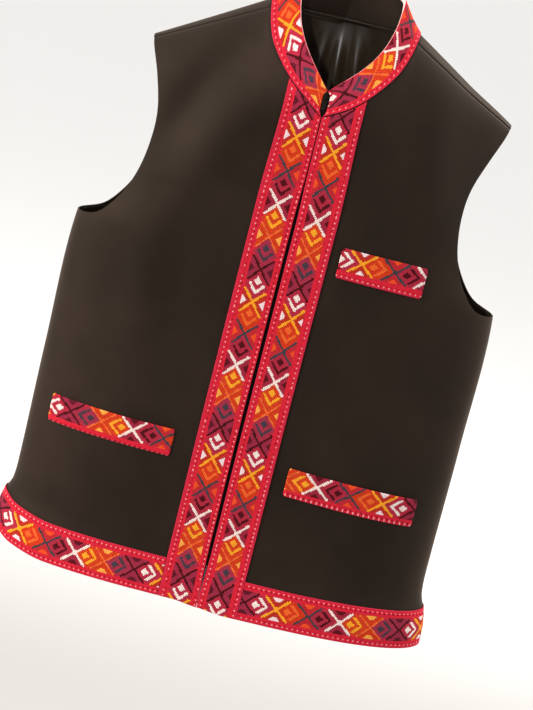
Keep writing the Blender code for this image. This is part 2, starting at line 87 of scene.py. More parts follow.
FOLDS = (  # on the back, from x, height, to x, height, half width, rise
    (False, -0.105, -0.060, -0.150, -0.190, 0.026, 0.0045),
    (False, -0.175, -0.240, -0.120, -0.420, 0.034, 0.0030),
    (False, 0.120, -0.070, 0.150, -0.200, 0.028, 0.0030),
    (False, 0.205, -0.300, 0.170, -0.470, 0.030, -0.0035),
    (False, 0.150, -0.560, 0.110, -0.640, 0.030, 0.0025),
    (True, -0.120, -0.080, -0.060, -0.300, 0.032, 0.0040),
    (True, 0.130, -0.080, 0.075, -0.330, 0.030, 0.0035),
    (True, 0.000, -0.340, 0.010, -0.600, 0.040, -0.0045),
    (True, -0.180, -0.310, -0.150, -0.560, 0.030, 0.0035),
    (True, 0.185, -0.330, 0.150, -0.600, 0.030, 0.0030),
)
CREASES = (  # the same, for the shallower creases: drag lines at the armholes, pockets and shoulders
    (False, -0.099, -0.041, -0.171, -0.192, 0.026, -0.0120),
    (False, -0.152, -0.270, -0.150, -0.430, 0.030, 0.0038),
    (False, -0.066, -0.085, -0.144, -0.275, 0.027, 0.0050),
    (False, 0.105, -0.075, 0.120, -0.230, 0.022, -0.0030),
    (False, 0.060, -0.330, 0.175, -0.470, 0.030, 0.0028),
    (False, -0.192, -0.255, -0.120, -0.300, 0.012, 0.0011),
    (False, -0.186, -0.225, -0.100, -0.235, 0.010, -0.0009),
    (False, 0.194, -0.262, 0.130, -0.330, 0.013, 0.0012),
    (False, 0.176, -0.120, 0.110, -0.170, 0.012, -0.0010),
    (False, -0.160, -0.500, -0.070, -0.470, 0.014, 0.0009),
    (False, -0.200, -0.560, -0.190, -0.635, 0.013, -0.0012),
    (False, 0.080, -0.540, 0.070, -0.630, 0.014, 0.0010),
    (False, 0.215, -0.540, 0.205, -0.640, 0.013, -0.0012),
    (False, 0.060, -0.300, 0.070, -0.480, 0.016, 0.0008),
    (False, -0.060, -0.250, -0.075, -0.400, 0.015, -0.0008),
    (True, -0.188, -0.240, -0.110, -0.290, 0.013, 0.0013),
    (True, 0.190, -0.235, 0.105, -0.275, 0.012, 0.0012),
    (True, -0.060, -0.030, -0.090, -0.110, 0.014, 0.0011),
    (True, 0.065, -0.030, 0.100, -0.120, 0.013, -0.0010),
    (True, -0.090, -0.480, -0.110, -0.640, 0.016, -0.0014),
    (True, 0.080, -0.500, 0.095, -0.640, 0.016, 0.0013),
    (True, 0.040, -0.420, -0.030, -0.560, 0.018, 0.0010),
    (True, -0.215, -0.450, -0.200, -0.640, 0.014, 0.0012),
)
FOLD_ENDS = 0.4  # share of its rise that a fold keeps at its ends
SETTLED = 0.0030  # how far the left side hangs lower and the right one higher
SETTLED_ACROSS, SETTLED_DOWN = 0.030, 0.12  # how far from the meeting line and the shoulder it grows
STRAY_REACH = 0.200  # from the meeting line, until its straying is gone
SPREAD = 0.0050  # of the left shoulder
SPREAD_ACROSS, SPREAD_UP = (0.15, 0.05), (-0.20, 0.10)  # from what x and height on, and over how far
HEM_LIFTS = ((0.0090, 0.190, 0.075), (0.0070, 0.236, 0.028))  # at the right: how far; from where; over what
HEM_LIFT_DOWN = (0.56, 0.09)  # from how far below the shoulder, and over how far


def smooth(table, column, key):
    """Smooth value of a table's column at the keys in its first column."""
    table, key = np.asarray(table, float), np.asarray(key, float)
    spot = np.clip(np.searchsorted(table[:, 0], key, side="right") - 1, 0, len(table) - 2)
    before, after = np.maximum(spot - 1, 0), np.minimum(spot + 2, len(table) - 1)
    keys, values = table[:, 0], table[:, column]
    span = keys[spot + 1] - keys[spot]
    share = np.clip((key - keys[spot]) / span, 0, 1)
    start = (values[spot + 1] - values[before]) / (keys[spot + 1] - keys[before]) * span
    end = (values[after] - values[spot]) / (keys[after] - keys[spot]) * span
    square, cube = share ** 2, share ** 3
    return (
        (2 * cube - 3 * square + 1) * values[spot]
        + (cube - 2 * square + share) * start
        + (3 * square - 2 * cube) * values[spot + 1]
        + (cube - square) * end
    )


def through(table, share):
    """Points at shares, from 0 to 1, of the smooth curve through a table's rows."""
    table, share = np.asarray(table, float), np.asarray(share, float)
    last = len(table) - 1
    place = np.clip(share, 0, 1) * last
    spot = np.minimum(place.astype(int), last - 1)
    f = (place - spot)[..., None]
    a, b = table[np.maximum(spot - 1, 0)], table[spot]
    c, d = table[spot + 1], table[np.minimum(spot + 2, last)]
    return b + 0.5 * f * (c - a + f * (2 * a - 5 * b + 4 * c - d + f * (3 * (b - c) + d - a)))


def soft_step(value, start=0.0, span=1.0):
    """0 up to a start, 1 from a span past it, and a soft change between."""
    share = np.clip((value - start) / span, 0, 1)
    return share * share * (3 - 2 * share)


def crest(x):
    """Height of the line where front and back meet over the shoulder."""
    beyond = np.abs(x) - NECK_HALF
    return np.where(beyond < 0, -beyond, -beyond * SHOULDER_DROP / (SHOULDER_HALF - NECK_HALF))


def near_line(x, height, x0, z0, x1, z1, half_width):
    """How far along a fold's line a place lies, from 0 to 1, and how far off it, in half widths."""
    along_x, along_z = x1 - x0, z1 - z0
    share = ((x - x0) * along_x + (height - z0) * along_z) / (along_x ** 2 + along_z ** 2)
    share = np.clip(share, 0, 1)
    return share, np.hypot(x - x0 - share * along_x, height - z0 - share * along_z) / half_width


def fold_rise(x, height, back):
    """How far folds and creases lift the cloth."""
    rise = np.zeros(np.shape(x))
    for behind, *line, up in FOLDS + CREASES:
        if behind == back:
            share, away = near_line(x, height, *line)
            rise = rise + up * np.exp(-away * away) * (FOLD_ENDS + (1 - FOLD_ENDS) * np.sin(np.pi * share))
    return rise


def openness(x, height):
    """Square of the share of its full depth that the hollow has at a place."""
    side = 1 - (np.abs(x) / smooth(SECTIONS, 1, height)) ** SECTION_POWER
    below = np.minimum((crest(x) - height) / CREST_REACH, 1.0)
    return side * (1 - (1 - below) ** CREST_POWER)


def full_depth(x, height, back):
    return smooth(SECTIONS, 3 if back else 2, height) + fold_rise(x, height, back)


def skin(x, height, back=False, out=0.0):
    """Points of the cloth's middle surface, moved out along their normals."""
    x, height, out = np.broadcast_arrays(np.asarray(x, float), np.asarray(height, float), out)
    way = 1.0 if back else -1.0
    y = way * full_depth(x, height, back) * np.sqrt(np.maximum(openness(x, height), 0))

    def level(px, py, pz):
        return (py / full_depth(px, pz, back)) ** 2 - openness(px, pz)

    step = 0.00002
    normal = np.stack((
        level(x + step, y, height) - level(x - step, y, height),
        level(x, y + step, height) - level(x, y - step, height),
        level(x, y, height + step) - level(x, y, height - step),
    ), axis=-1)
    normal /= np.linalg.norm(normal, axis=-1, keepdims=True)
    return settled(np.stack((x, y, height), axis=-1) + normal * np.asarray(out)[..., None])


def settled(points):
    """Points after the two fronts have settled unevenly and strayed a little to one side, the left shoulder
    has spread and the hem has turned up at the right side seam."""
    x, y, z = points[..., 0], points[..., 1], points[..., 2]
    ahead = np.sign(x) * soft_step(np.abs(x), 0, SETTLED_ACROSS)
    behind = np.clip(x / smooth(SECTIONS, 1, z), -1, 1)
    side = np.where(y < 0, ahead, behind)
    stray = np.where(y < 0, smooth(MEETING, 1, z) * (1 - soft_step(np.abs(x), 0, STRAY_REACH)), 0)
    drop = side * soft_step(-z, 0, SETTLED_DOWN) * SETTLED
    wide = SPREAD * soft_step(x, *SPREAD_ACROSS) * soft_step(z, *SPREAD_UP)
    lift = sum(rise * soft_step(-x, *ends) for rise, *ends in HEM_LIFTS) * soft_step(-z, *HEM_LIFT_DOWN)
    return np.stack((x + stray + wide, y, z - drop + lift), axis=-1)


def side_seam(height, away):
    """Half width at which the surface lies a little in front of the side line."""
    half_width = smooth(SECTIONS, 1, height)
    share = (away / full_depth(half_width, height, False)) ** 2
    return half_width * (1 - share) ** (1 / SECTION_POWER)


WELD, SLIVER = 0.00002, 0.00001  # points this close are made one, and edges this short are taken out
SHARP = math.radians(60)  # only edges sharper than this are rounded


def sheet(name, grids, thick, rim=0, segments=2, uv=None, tint=None):
    """A sheet of cloth from grids of points, welded where they meet, given its wall and a rounded rim.
    uv gives each point's place on the flat cloth, tint each face's colour."""
    points, faces = np.zeros((0, 3)), np.zeros((0, 4), int)
    for grid in grids:
        rows, columns = grid.shape[:2]
        index = len(points) + np.arange(rows * columns).reshape(rows, columns)
        quads = np.stack((index[:-1, :-1], index[:-1, 1:], index[1:, 1:], index[1:, :-1]), axis=-1)
        points = np.concatenate((points, grid.reshape(-1, 3)))
        faces = np.concatenate((faces, quads.reshape(-1, 4)))
    mesh = bpy.data.meshes.new(name)
    mesh.from_pydata(points.tolist(), [], faces.tolist())
    if uv is not None:
        layer = mesh.uv_layers.new(name="cloth")
        layer.data.foreach_set("uv", uv.reshape(-1, 2)[faces.reshape(-1)].astype(np.float32).reshape(-1))
    if tint is not None:
        layer = mesh.color_attributes.new("thread", "FLOAT_COLOR", "CORNER")
        full = np.concatenate((tint, np.ones(tint.shape[:2] + (1,))), axis=-1).reshape(-1, 4)
        layer.data.foreach_set("color", np.repeat(full, 4, axis=0).astype(np.float32).reshape(-1))
    weld = bmesh.new()
    weld.from_mesh(mesh)
    bmesh.ops.remove_doubles(weld, verts=weld.verts, dist=WELD)
    bmesh.ops.dissolve_degenerate(weld, edges=weld.edges, dist=SLIVER)
    weld.to_mesh(mesh)
    weld.free()
    piece = bpy.data.objects.new(name, mesh)
    bpy.context.scene.collection.objects.link(piece)
    wall = piece.modifiers.new("Cloth wall", "SOLIDIFY")
    wall.thickness = thick
    wall.offset = 0.0
    if rim:
        edge = piece.modifiers.new("Turned edge", "BEVEL")
        edge.width = rim
        edge.segments = segments
        edge.limit_method = "ANGLE"
        edge.angle_limit = SHARP
    only(piece)
    for step in list(piece.modifiers):
        bpy.ops.object.modifier_apply(modifier=step.name)
    mesh.shade_smooth()
    return piece


def only(piece):
    """Selects one piece and nothing else."""
    bpy.ops.object.select_all(action="DESELECT")
    piece.select_set(True)
    bpy.context.view_layer.objects.active = piece


def linear(code):
    """Linear colour of an sRGB hex value."""
    parts = [int(code[k:k + 2], 16) / 255 for k in (0, 2, 4)]
    return [c / 12.92 if c <= 0.04045 else ((c + 0.055) / 1.055) ** 2.4 for c in parts]


def add(paint, kind, settings=(), **links):
    """Adds a node with settings (socket or property, value) and links (socket, or _ and its number)."""
    step = paint.node_tree.nodes.new(kind)
    for key, value in settings:
        if isinstance(key, str) and hasattr(step, key):
            setattr(step, key, value)
        else:
            step.inputs[key].default_value = value
    for socket, source in links.items():
        target = int(socket[1:]) if socket[0] == "_" else socket
        paint.node_tree.links.new(source, step.inputs[target])
    return step


def new_material(name, settings):
    """A material whose Principled shader has these values on its own sockets."""
    paint = bpy.data.materials.new(name)
    paint.use_nodes = True
    shader = paint.node_tree.nodes["Principled BSDF"]
    for key, value in settings:
        shader.inputs[key].default_value = value
    return paint, shader


def join(paint, source, target):
    paint.node_tree.links.new(source, target)


# Worsted wool suiting, a piece-dyed fine twill pressed smooth: near black brown, with a soft nap that pales
# at grazing angles. Its real rib of 0.5 mm is drawn as 1.1 mm, because finer would not show.
TWILL_RIB = 0.0011
TWILL_TURN = math.radians(58)
WAVES = 3.1  # about as many as the wave texture draws to a metre at scale 1
suiting, shader = new_material("Worsted suiting", (
    ("Roughness", 0.58), ("IOR", 1.45),
    ("Specular IOR Level", 0.22), ("Specular Tint", (*linear("E6CCB4"), 1)),
    ("Sheen Weight", 0.30), ("Sheen Roughness", 0.42), ("Sheen Tint", (*linear("A6886A"), 1)),
))
place = add(suiting, "ShaderNodeTexCoord").outputs["Object"]
turned = add(suiting, "ShaderNodeMapping", (("Rotation", (0, TWILL_TURN, 0)),), Vector=place)
rib = add(suiting, "ShaderNodeTexWave", (
    ("bands_direction", "X"), ("Scale", 1 / TWILL_RIB / WAVES),
    ("Distortion", 0.6), ("Detail", 1.0), ("Detail Scale", 2.0),
), Vector=turned.outputs[0])
fibre = add(suiting, "ShaderNodeTexNoise", (("Scale", 900.0), ("Detail", 3.0)), Vector=place)
cloud = add(suiting, "ShaderNodeTexNoise", (
    ("Scale", 7.0), ("Detail", 3.0), ("Roughness", 0.6),
), Vector=place)
tone = add(suiting, "ShaderNodeValToRGB", Fac=cloud.outputs["Fac"])
for stop, spot, code in zip(tone.color_ramp.elements, (0.30, 0.72), ("120D0B", "221A16")):
    stop.position = spot
    stop.color = (*linear(code), 1)
fleck = add(suiting, "ShaderNodeMath", (
    ("operation", "MULTIPLY_ADD"), (1, 0.5), (2, 0.75),
), _0=fibre.outputs["Fac"])
shade = add(suiting, "ShaderNodeMix", (
    ("data_type", "RGBA"), ("blend_type", "MULTIPLY"), (0, 1.0),
), _6=tone.outputs["Color"], _7=fleck.outputs[0])
join(suiting, shade.outputs[2], shader.inputs["Base Color"])
relief = add(suiting, "ShaderNodeMath", (
    ("operation", "MULTIPLY_ADD"), (1, 0.5),
), _0=rib.outputs["Fac"], _2=fibre.outputs["Fac"])
bump = add(suiting, "ShaderNodeBump", (("Strength", 0.35), ("Distance", 0.0002)), Height=relief.outputs[0])
join(suiting, bump.outputs["Normal"], shader.inputs["Normal"])

PANEL_RIM = 0.0007
PANEL_STEP = 0.0058  # between level rows
PANEL_ACROSS = np.sin(np.pi / 2 * np.linspace(0, 1, 57))  # columns, closer where the side rounds away
FAN_ROWS = 5  # to each step of the fan above the underarm
FRONT_STEPS = 12  # up the zip edge and on round the neck
FRONT_MIDDLE = (UNDERARM, -0.240, -0.195, -0.150, FRONT_NECK[0][1])  # heights up the zip edge
TIP_IN, TIP_DOWN = 0.0005, 0.0035  # from the shoulder's end to the front's tip


def panel_places(inner_x, middle, neck, outline, steps, top_step, low=HEM, inset=0.0):
    """x and height of the points of half a panel: level rows up to the underarm, then rows fanned out from
    the middle and the neck edge to the armhole and the shoulder."""
    rows = []
    for height in np.arange(low, UNDERARM, PANEL_STEP):
        outer = float(side_seam(height, SEAM / 2 + inset))
        x = inner_x + (outer - inner_x) * PANEL_ACROSS
        rows.append(np.stack((x, np.full(x.shape, height)), axis=-1))
    turn = len(middle) - 1
    for step in np.linspace(0, top_step, top_step * FAN_ROWS + 1):
        if step <= turn:
            inner = np.array((inner_x, np.interp(step, range(turn + 1), middle)))
        else:
            inner = through(neck, (step - turn) / (steps - turn))
        outer = through(outline, step / steps) - np.array((inset / 2, 0))
        rows.append(inner + (outer - inner) * PANEL_ACROSS[:, None])
    return np.array(rows)


tip = (SHOULDER_HALF - TIP_IN, float(crest(SHOULDER_HALF)) - TIP_DOWN)
places = panel_places(SLOT_HALF, FRONT_MIDDLE, FRONT_NECK, ARMHOLE + (tip,), FRONT_STEPS, FRONT_STEPS)
dip = np.zeros(places.shape[:2])
dip[-1] = -PRESSED_IN
for side, hand in ((-1, "right"), (1, "left")):
    grid = skin(side * places[..., 0], places[..., 1], False, dip)
    grid = grid if side > 0 else grid[:, ::-1]
    front = sheet(f"front_{hand}_cloth", [grid], SUITING_THICK, PANEL_RIM)
    front.data.materials.append(suiting)
    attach(front, "garment")
    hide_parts(f"front_{hand}")

# Back. One piece of the same suiting, sewn to the fronts down the sides and a little in front of the
# shoulders' crest, its neck edge turned up into the collar.
BACK_NECK = (  # x, height
    (0.0000, -0.0060), (0.0300, -0.0060), (0.0600, -0.0050), (0.0780, -0.0025), (0.0840, 0.0000),
)
BACK_MIDDLE = (UNDERARM, -0.240, -0.195, -0.150, -0.110, -0.070, -0.035, BACK_NECK[0][1])
BACK_OUTLINE = ARMHOLE + ((SHOULDER_HALF, -SHOULDER_DROP),)
BACK_STEPS = 13
OVER, OVER_LESS = 0.0095, 0.0060  # how far it comes over the crest at the neck, and how much less at the tip
OVER_ROWS = (0.12, 0.25, 0.40, 0.55, 0.70, 0.85, 1.0)  # shares of that
places = panel_places(0.0, BACK_MIDDLE, BACK_NECK, BACK_OUTLINE, BACK_STEPS, BACK_STEPS)
x = NECK_HALF + (SHOULDER_HALF - NECK_HALF) * PANEL_ACROSS
full = OVER - OVER_LESS * PANEL_ACROSS - SEAM
over = np.array([np.stack((x, crest(x) - full * reach), axis=-1) for reach in OVER_ROWS])
dip = np.zeros(over.shape[:2])
dip[-1] = -PRESSED_IN
halves = []
for side in (1, -1):
    grid = np.concatenate((
        skin(side * places[..., 0], places[..., 1], True),
        skin(side * over[..., 0], over[..., 1], False, dip),
    ))
    halves.append(grid[:, ::-1] if side > 0 else grid)
back = sheet("back_cloth", halves, SUITING_THICK, PANEL_RIM)
back.data.materials.append(suiting)
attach(back, "garment")
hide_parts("back")

# Back lining. Satin, cut like the back but free of it below the neck seam, so that it hangs in soft upright
# folds; a few of them fan out from the middle of the neck and catch the light.
LINING_THICK = 0.0006
LINING_LOW = -0.668
LINING_STEPS = 12  # of the back's, to just below the neck seam
LINING_INSET = 0.008  # from the back's edges
LINING_IN = 0.0022  # inward from the back's middle
FOLD_START, FOLD_GROWTH = 0.16, 3.6  # how far a fold has grown at its start, and how fast it grows on
LINING_FOLDS = (  # from x, height, to x, height, half width, how far it stands inward
    (0.000, -0.010, 0.012, -0.260, 0.0078, 0.0135),
    (-0.016, -0.012, -0.040, -0.300, 0.0070, 0.0115),
    (0.018, -0.012, 0.056, -0.280, 0.0072, 0.0125),
    (-0.046, -0.016, -0.090, -0.330, 0.0110, 0.0045),
    (0.050, -0.016, 0.105, -0.330, 0.0110, 0.0045),
    (-0.010, -0.160, -0.012, -0.600, 0.0160, 0.0050),
    (0.070, -0.230, 0.075, -0.640, 0.0180, 0.0055),
    (-0.085, -0.260, -0.080, -0.640, 0.0180, 0.0050),
    (0.150, -0.240, 0.150, -0.640, 0.0200, 0.0045),
    (-0.150, -0.240, -0.155, -0.640, 0.0200, 0.0050),
)
places = panel_places(
    0.0, BACK_MIDDLE, BACK_NECK, BACK_OUTLINE, BACK_STEPS, LINING_STEPS, LINING_LOW, LINING_INSET,
)
x = np.concatenate((places[:, ::-1, 0], -places[:, 1:, 0]), axis=1)
height = np.concatenate((places[:, ::-1, 1], places[:, 1:, 1]), axis=1)
inward = np.zeros(x.shape)
for *line, rise in LINING_FOLDS:
    share, away = near_line(x, height, *line)
    inward += rise * np.exp(-away * away) * soft_step(FOLD_START + share * FOLD_GROWTH)
lining = sheet("back_lining_cloth", [skin(x, height, True, -(LINING_IN + inward))], LINING_THICK)

# Acetate satin: warp floats give a tight, slightly streaked gloss over a dark olive brown.
satin, shader = new_material("Acetate satin", (
    ("Roughness", 0.29), ("IOR", 1.48), ("Anisotropic", 0.35),
    ("Sheen Weight", 0.05), ("Sheen Roughness", 0.3),
))
place = add(satin, "ShaderNodeTexCoord").outputs["Object"]
stretched = add(satin, "ShaderNodeMapping", (("Scale", (900, 60, 60)),), Vector=place)
streak = add(satin, "ShaderNodeTexNoise", (("Scale", 1.0), ("Detail", 2.0)), Vector=stretched.outputs[0])
tone = add(satin, "ShaderNodeValToRGB", Fac=streak.outputs["Fac"])
for stop, spot, code in zip(tone.color_ramp.elements, (0.25, 0.8), ("221A12", "2C2319")):
    stop.position = spot
    stop.color = (*linear(code), 1)
join(satin, tone.outputs["Color"], shader.inputs["Base Color"])
bump = add(satin, "ShaderNodeBump", (("Strength", 0.05), ("Distance", 0.0001)), Height=streak.outputs["Fac"])
join(satin, bump.outputs["Normal"], shader.inputs["Normal"])
lining.data.materials.append(satin)
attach(lining, "garment")
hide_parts("back_lining")

# Woven trim down the front edges. One band in pattern weave, 45 mm wide: a dull selvedge, a row of pale and
# dark dots and a bright red stripe at each side, and between them crosses and arrowed diamonds whose colours
# come round every five crosses. It is laid flat on each front edge and sewn down along both sides.
GAP = 0.0003  # between a layer and the next
TRIM_THICK = 0.0012
TRIM_OUT = SUITING_THICK / 2 + GAP + TRIM_THICK / 2  # from the suiting's middle to the trim's
TRIM_WIDE = 0.045
STITCHES = 30  # across the band; the real ones are finer, and are drawn as wide as they need to show
STITCH = TRIM_WIDE / STITCHES
BAND_WIDTHS = np.linspace(0, TRIM_WIDE, STITCHES + 1)
MOTIF_LONG = 0.0379  # from the middle of one cross to the next
ROWS = 25  # of stitches in a motif
ROW = MOTIF_LONG / ROWS
STITCH_RISE = 0.00035
BAND_RIM = 0.0003
FORTIETH = TRIM_WIDE / 40  # the figures are drawn in fortieths of the band's width
MOTIF_PARTS = 32  # and in parts of a motif's length
BAND_RED = np.array(linear("E4233A"))
SELVEDGE, SELVEDGE_FROM = np.array(linear("D02540")), 18.2
DOT_ROWS = 4
DOTS = (  # from and to across, which row of the four, colour, rise
    (15.9, 17.3, 0, linear("FA9CA2"), 1.0),
    (14.6, 16.0, 2, linear("8E0E24"), 0.2),
)
FIELD_HALF = 12  # from the middle to the field's edge
ARM_REACH = 12.5  # from a cross's middle to the ends of its arms
FIGURE_SCALE = 1.03  # the figures stop a little short of the field's edge
CROSS_SLOPE = 0.92
GROUND_ACROSS, GROUND_ALONG = 12.5, 15.5  # half of the ground between two crosses
CORNER_FROM, CORNER_POINT, CORNER_SLOPE = 7.4, 6.9, 0.95  # the wedge at the field's edge over a cross
DIAMOND_AT, DIAMOND_ACROSS, DIAMOND_ALONG = 11.2, 3.9, 4.3  # its middle, and half its size
ARROW_AT, ARROW_FROM, ARROW_ACROSS, ARROW_HALF = 22.5, 13.0, 8.6, 1.9  # point, end, half width, half its line
CROSSES = (  # arms, corner figures, ground beside, the diamond after it and its ground, arms' half width
    ("450509", "5E1222", "A32A46", "F7E4DC", "BE2943", 1.45),
    ("F9A424", "F4DCE0", "C62F1E", "EE6529", "DE3A16", 1.55),
    ("393C45", "EC4E20", "C92832", "4E050F", "B82A42", 1.45),
    ("F6E2D9", "5A0814", "A82640", "FAA628", "DF421A", 1.65),
    ("EE6C30", "F8A848", "DC3C17", "423844", "AE2F48", 0.95),
)
PALETTE = np.array([[linear(code) for code in row[:5]] for row in CROSSES])
ARM_HALF = np.array([row[5] for row in CROSSES])
FIGURE_RISE, CORNER_RISE, SELVEDGE_RISE, GROUND_RISE = 1.0, 0.7, 0.35, 0.1
UNEVEN = (0.86, 1.08)  # how much a stitch's colour differs from the next
# Painted shade and light: every other stitch is darkened as if it lay deeper, most in the ground, and the
# others a little lightened; the stitches' relief is not changed by it.
STITCH_PAINTED_LIGHT, FIGURE_PAINTED_SHADE, GROUND_PAINTED_SHADE = 1.06, 0.90, 0.66  # every other stitch lies deeper
FIGURE_FROM = 0.3  # a stitch that rises more than this is part of a figure
THREAD_DEPTH = 0.84  # how much darker thread in cloth looks than the thread itself
END_CLEAR = 0.3  # rows closer to an end than this share of a row are left out


def rows_of(start, way, low, high, pitch=MOTIF_LONG):
    """Lengths of the edges between rows of stitches, in step with the motifs, from low to high."""
    first, last = sorted(((start + way * low / pitch) * ROWS, (start + way * high / pitch) * ROWS))
    inner = np.arange(math.ceil(first + END_CLEAR), math.floor(last - END_CLEAR) + 1)
    inner = (inner / ROWS - start) * way * pitch
    return np.concatenate(((low,), np.sort(inner), (high,)))


def woven(along, across):
    """Colour and relief of each stitch: along counts motifs from a maroon cross, across counts fortieths."""
    motif = np.floor(along).astype(int)
    f = (along - motif) * MOTIF_PARTS
    g = MOTIF_PARTS - f
    before, after, b = motif % 5, (motif + 1) % 5, np.abs(across)
    a = b * FIGURE_SCALE
    colour = np.tile(BAND_RED, a.shape + (1,))
    lift = np.zeros(a.shape)

    def lay(where, shades, rise):
        colour[where] = shades[where] if shades.ndim > 1 else shades
        lift[where] = rise

    field = a < FIELD_HALF
    dot = np.floor(along * ROWS) % DOT_ROWS
    lay(b > SELVEDGE_FROM, SELVEDGE, SELVEDGE_RISE)
    for low, high, row, shade, rise in DOTS:
        lay((b > low) & (b < high) & (dot == row), np.array(shade), rise)
    ground = a / GROUND_ACROSS + np.abs(f - MOTIF_PARTS / 2) / GROUND_ALONG < 1
    lay(field & ground, PALETTE[before, 4], GROUND_RISE)
    for end, which in ((f, before), (g, after)):
        lay(field & (a > CROSS_SLOPE * end) & (end < ARM_REACH), PALETTE[which, 2], GROUND_RISE)
    for end, which in ((f, before), (g, after)):
        corner = (a > CORNER_FROM) & (end < (a - CORNER_POINT) * CORNER_SLOPE)
        lay(field & corner, PALETTE[which, 1], CORNER_RISE)
        arm = np.abs(a - CROSS_SLOPE * end) < ARM_HALF[which]
        lay(field & arm & (end < ARM_REACH), PALETTE[which, 0], FIGURE_RISE)
    diamond = a / DIAMOND_ACROSS + np.abs(f - DIAMOND_AT) / DIAMOND_ALONG < 1
    lay(diamond, PALETTE[before, 3], FIGURE_RISE)
    arrow = np.abs(f - ARROW_AT + a / CROSS_SLOPE) < ARROW_HALF
    lay((a < ARROW_ACROSS) & (f > ARROW_FROM) & arrow, PALETTE[before, 3], FIGURE_RISE)
    row, column = np.indices(a.shape)
    uneven_and_painted_shade = np.random.default_rng(7).uniform(*UNEVEN, a.shape)
    # Painted shade: a checker darkens every other stitch and lightens the rest, on top of the stitches'
    # random unevenness.
    under = np.where(lift > FIGURE_FROM, FIGURE_PAINTED_SHADE, GROUND_PAINTED_SHADE)
    uneven_and_painted_shade *= np.where((row + column) % 2, STITCH_PAINTED_LIGHT, under)
    return colour * THREAD_DEPTH * uneven_and_painted_shade[..., None], lift


def band_sheet(name, length, width, along, across, point, thick=TRIM_THICK, out=TRIM_OUT, edge=None):
    """A piece of the band, one face to a stitch. point gives the place at a length and width, moved out;
    along and across turn lengths and widths into the pattern's own counts; edge recolours by width."""
    s, t = np.meshgrid(length, width, indexing="ij")
    middles = ((length[1:] + length[:-1]) / 2, (width[1:] + width[:-1]) / 2)
    s_mid, t_mid = np.meshgrid(*middles, indexing="ij")
    colour, lift = woven(along(s_mid), across(t_mid))
    # edge, when given, lays a painted highlight over the stitches' colours: the collar trim's pale rim.
    if edge is not None:
        where, shade = edge
        colour[where(t_mid)] = shade
    ring = np.pad(lift, 1, mode="edge")
    corner = (ring[1:, 1:] + ring[:-1, 1:] + ring[1:, :-1] + ring[:-1, :-1]) / 4
    grid = point(s, t, out + STITCH_RISE * corner)
    piece = sheet(name, [grid], thick, BAND_RIM, 1, np.stack((s, t), axis=-1), colour)
    piece.data.materials.append(band)
    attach(piece, "garment")
    return piece


# Mercerised cotton and wool thread in a dense pattern weave: matt, soft, each stitch a short raised float.
band, shader = new_material("Pattern woven band", (
    ("Roughness", 0.80), ("IOR", 1.45), ("Specular IOR Level", 0.12),
    ("Sheen Weight", 0.03), ("Sheen Roughness", 0.4),
))
thread = add(band, "ShaderNodeAttribute", (("attribute_name", "thread"),))
spread = add(band, "ShaderNodeUVMap", (("uv_map", "cloth"),)).outputs[0]
parts = add(band, "ShaderNodeSeparateXYZ", Vector=spread)
floats = []
for axis, pitch in ((0, ROW), (1, STITCH)):
    turn = add(band, "ShaderNodeMath", (
        ("operation", "MULTIPLY"), (1, math.pi / pitch),
    ), _0=parts.outputs[axis])
    wave = add(band, "ShaderNodeMath", (("operation", "SINE"),), _0=turn.outputs[0])
    floats.append(add(band, "ShaderNodeMath", (("operation", "ABSOLUTE"),), _0=wave.outputs[0]).outputs[0])
stitch = add(band, "ShaderNodeMath", (("operation", "MULTIPLY"),), _0=floats[0], _1=floats[1])
fluff = add(band, "ShaderNodeTexNoise", (("Scale", 1400.0), ("Detail", 2.0)), Vector=spread)
# Painted shade and highlight: each stitch's colour darkens to 0.42 at its borders and brightens to 1.12 at
# its crown, beside the real bump; the fluff noise adds thread variation.
painted_stitch_shade = add(band, "ShaderNodeMapRange", ((1, 0.0), (2, 0.5), (3, 0.42), (4, 1.12)), _0=stitch.outputs[0])
vary = add(band, "ShaderNodeMapRange", ((1, 0.3), (2, 0.7), (3, 0.86), (4, 1.10)), _0=fluff.outputs["Fac"])
fluff_and_painted_shade = add(band, "ShaderNodeMath", (("operation", "MULTIPLY"),), _0=painted_stitch_shade.outputs[0], _1=vary.outputs[0])
shade = add(band, "ShaderNodeMix", (
    ("data_type", "RGBA"), ("blend_type", "MULTIPLY"), (0, 1.0),
), _6=thread.outputs["Color"], _7=fluff_and_painted_shade.outputs[0])
join(band, shade.outputs[2], shader.inputs["Base Color"])
bump = add(band, "ShaderNodeBump", (("Strength", 0.5), ("Distance", 0.0003)), Height=stitch.outputs[0])
join(band, bump.outputs["Normal"], shader.inputs["Normal"])

TRIM_OUTER = 0.0474  # from the meeting line to the trim's outer edge
TRIM_LONG = 0.622
TRIM_CLEAR = 0.0004  # no row of stitches is shorter than this at its ends
NARROWER, NARROWS = 0.0030, (-0.22, 0.13)  # how much less wide it ends, and from what height over how far
TRIM_SLOT = (  # height, half the space between the two trims
    (-0.695, 0.0002), (-0.676, 0.0003), (-0.655, 0.0012), (-0.620, 0.0019),
    (-0.230, 0.0019), (-0.190, 0.0010), (-0.165, 0.0006), (-0.050, 0.0006),
)
EASING = (  # crosses down from the first, how far up the right and the left band is eased there as it is sewn
    (0, 0.0000, 0.0000), (3, -0.0025, -0.0040), (6, -0.0036, -0.0058), (9, -0.0030, -0.0049),
    (12, -0.0022, -0.0036), (14, 0.0012, 0.0000), (16, 0.0035, 0.0005),
)
FRONT_TRIMS = (  # side, name, height of the first maroon cross, how far the pattern is aside, in fortieths
    (-1, "right", -0.1003, -1.2),
    (1, "left", -0.1020, -0.4),
)


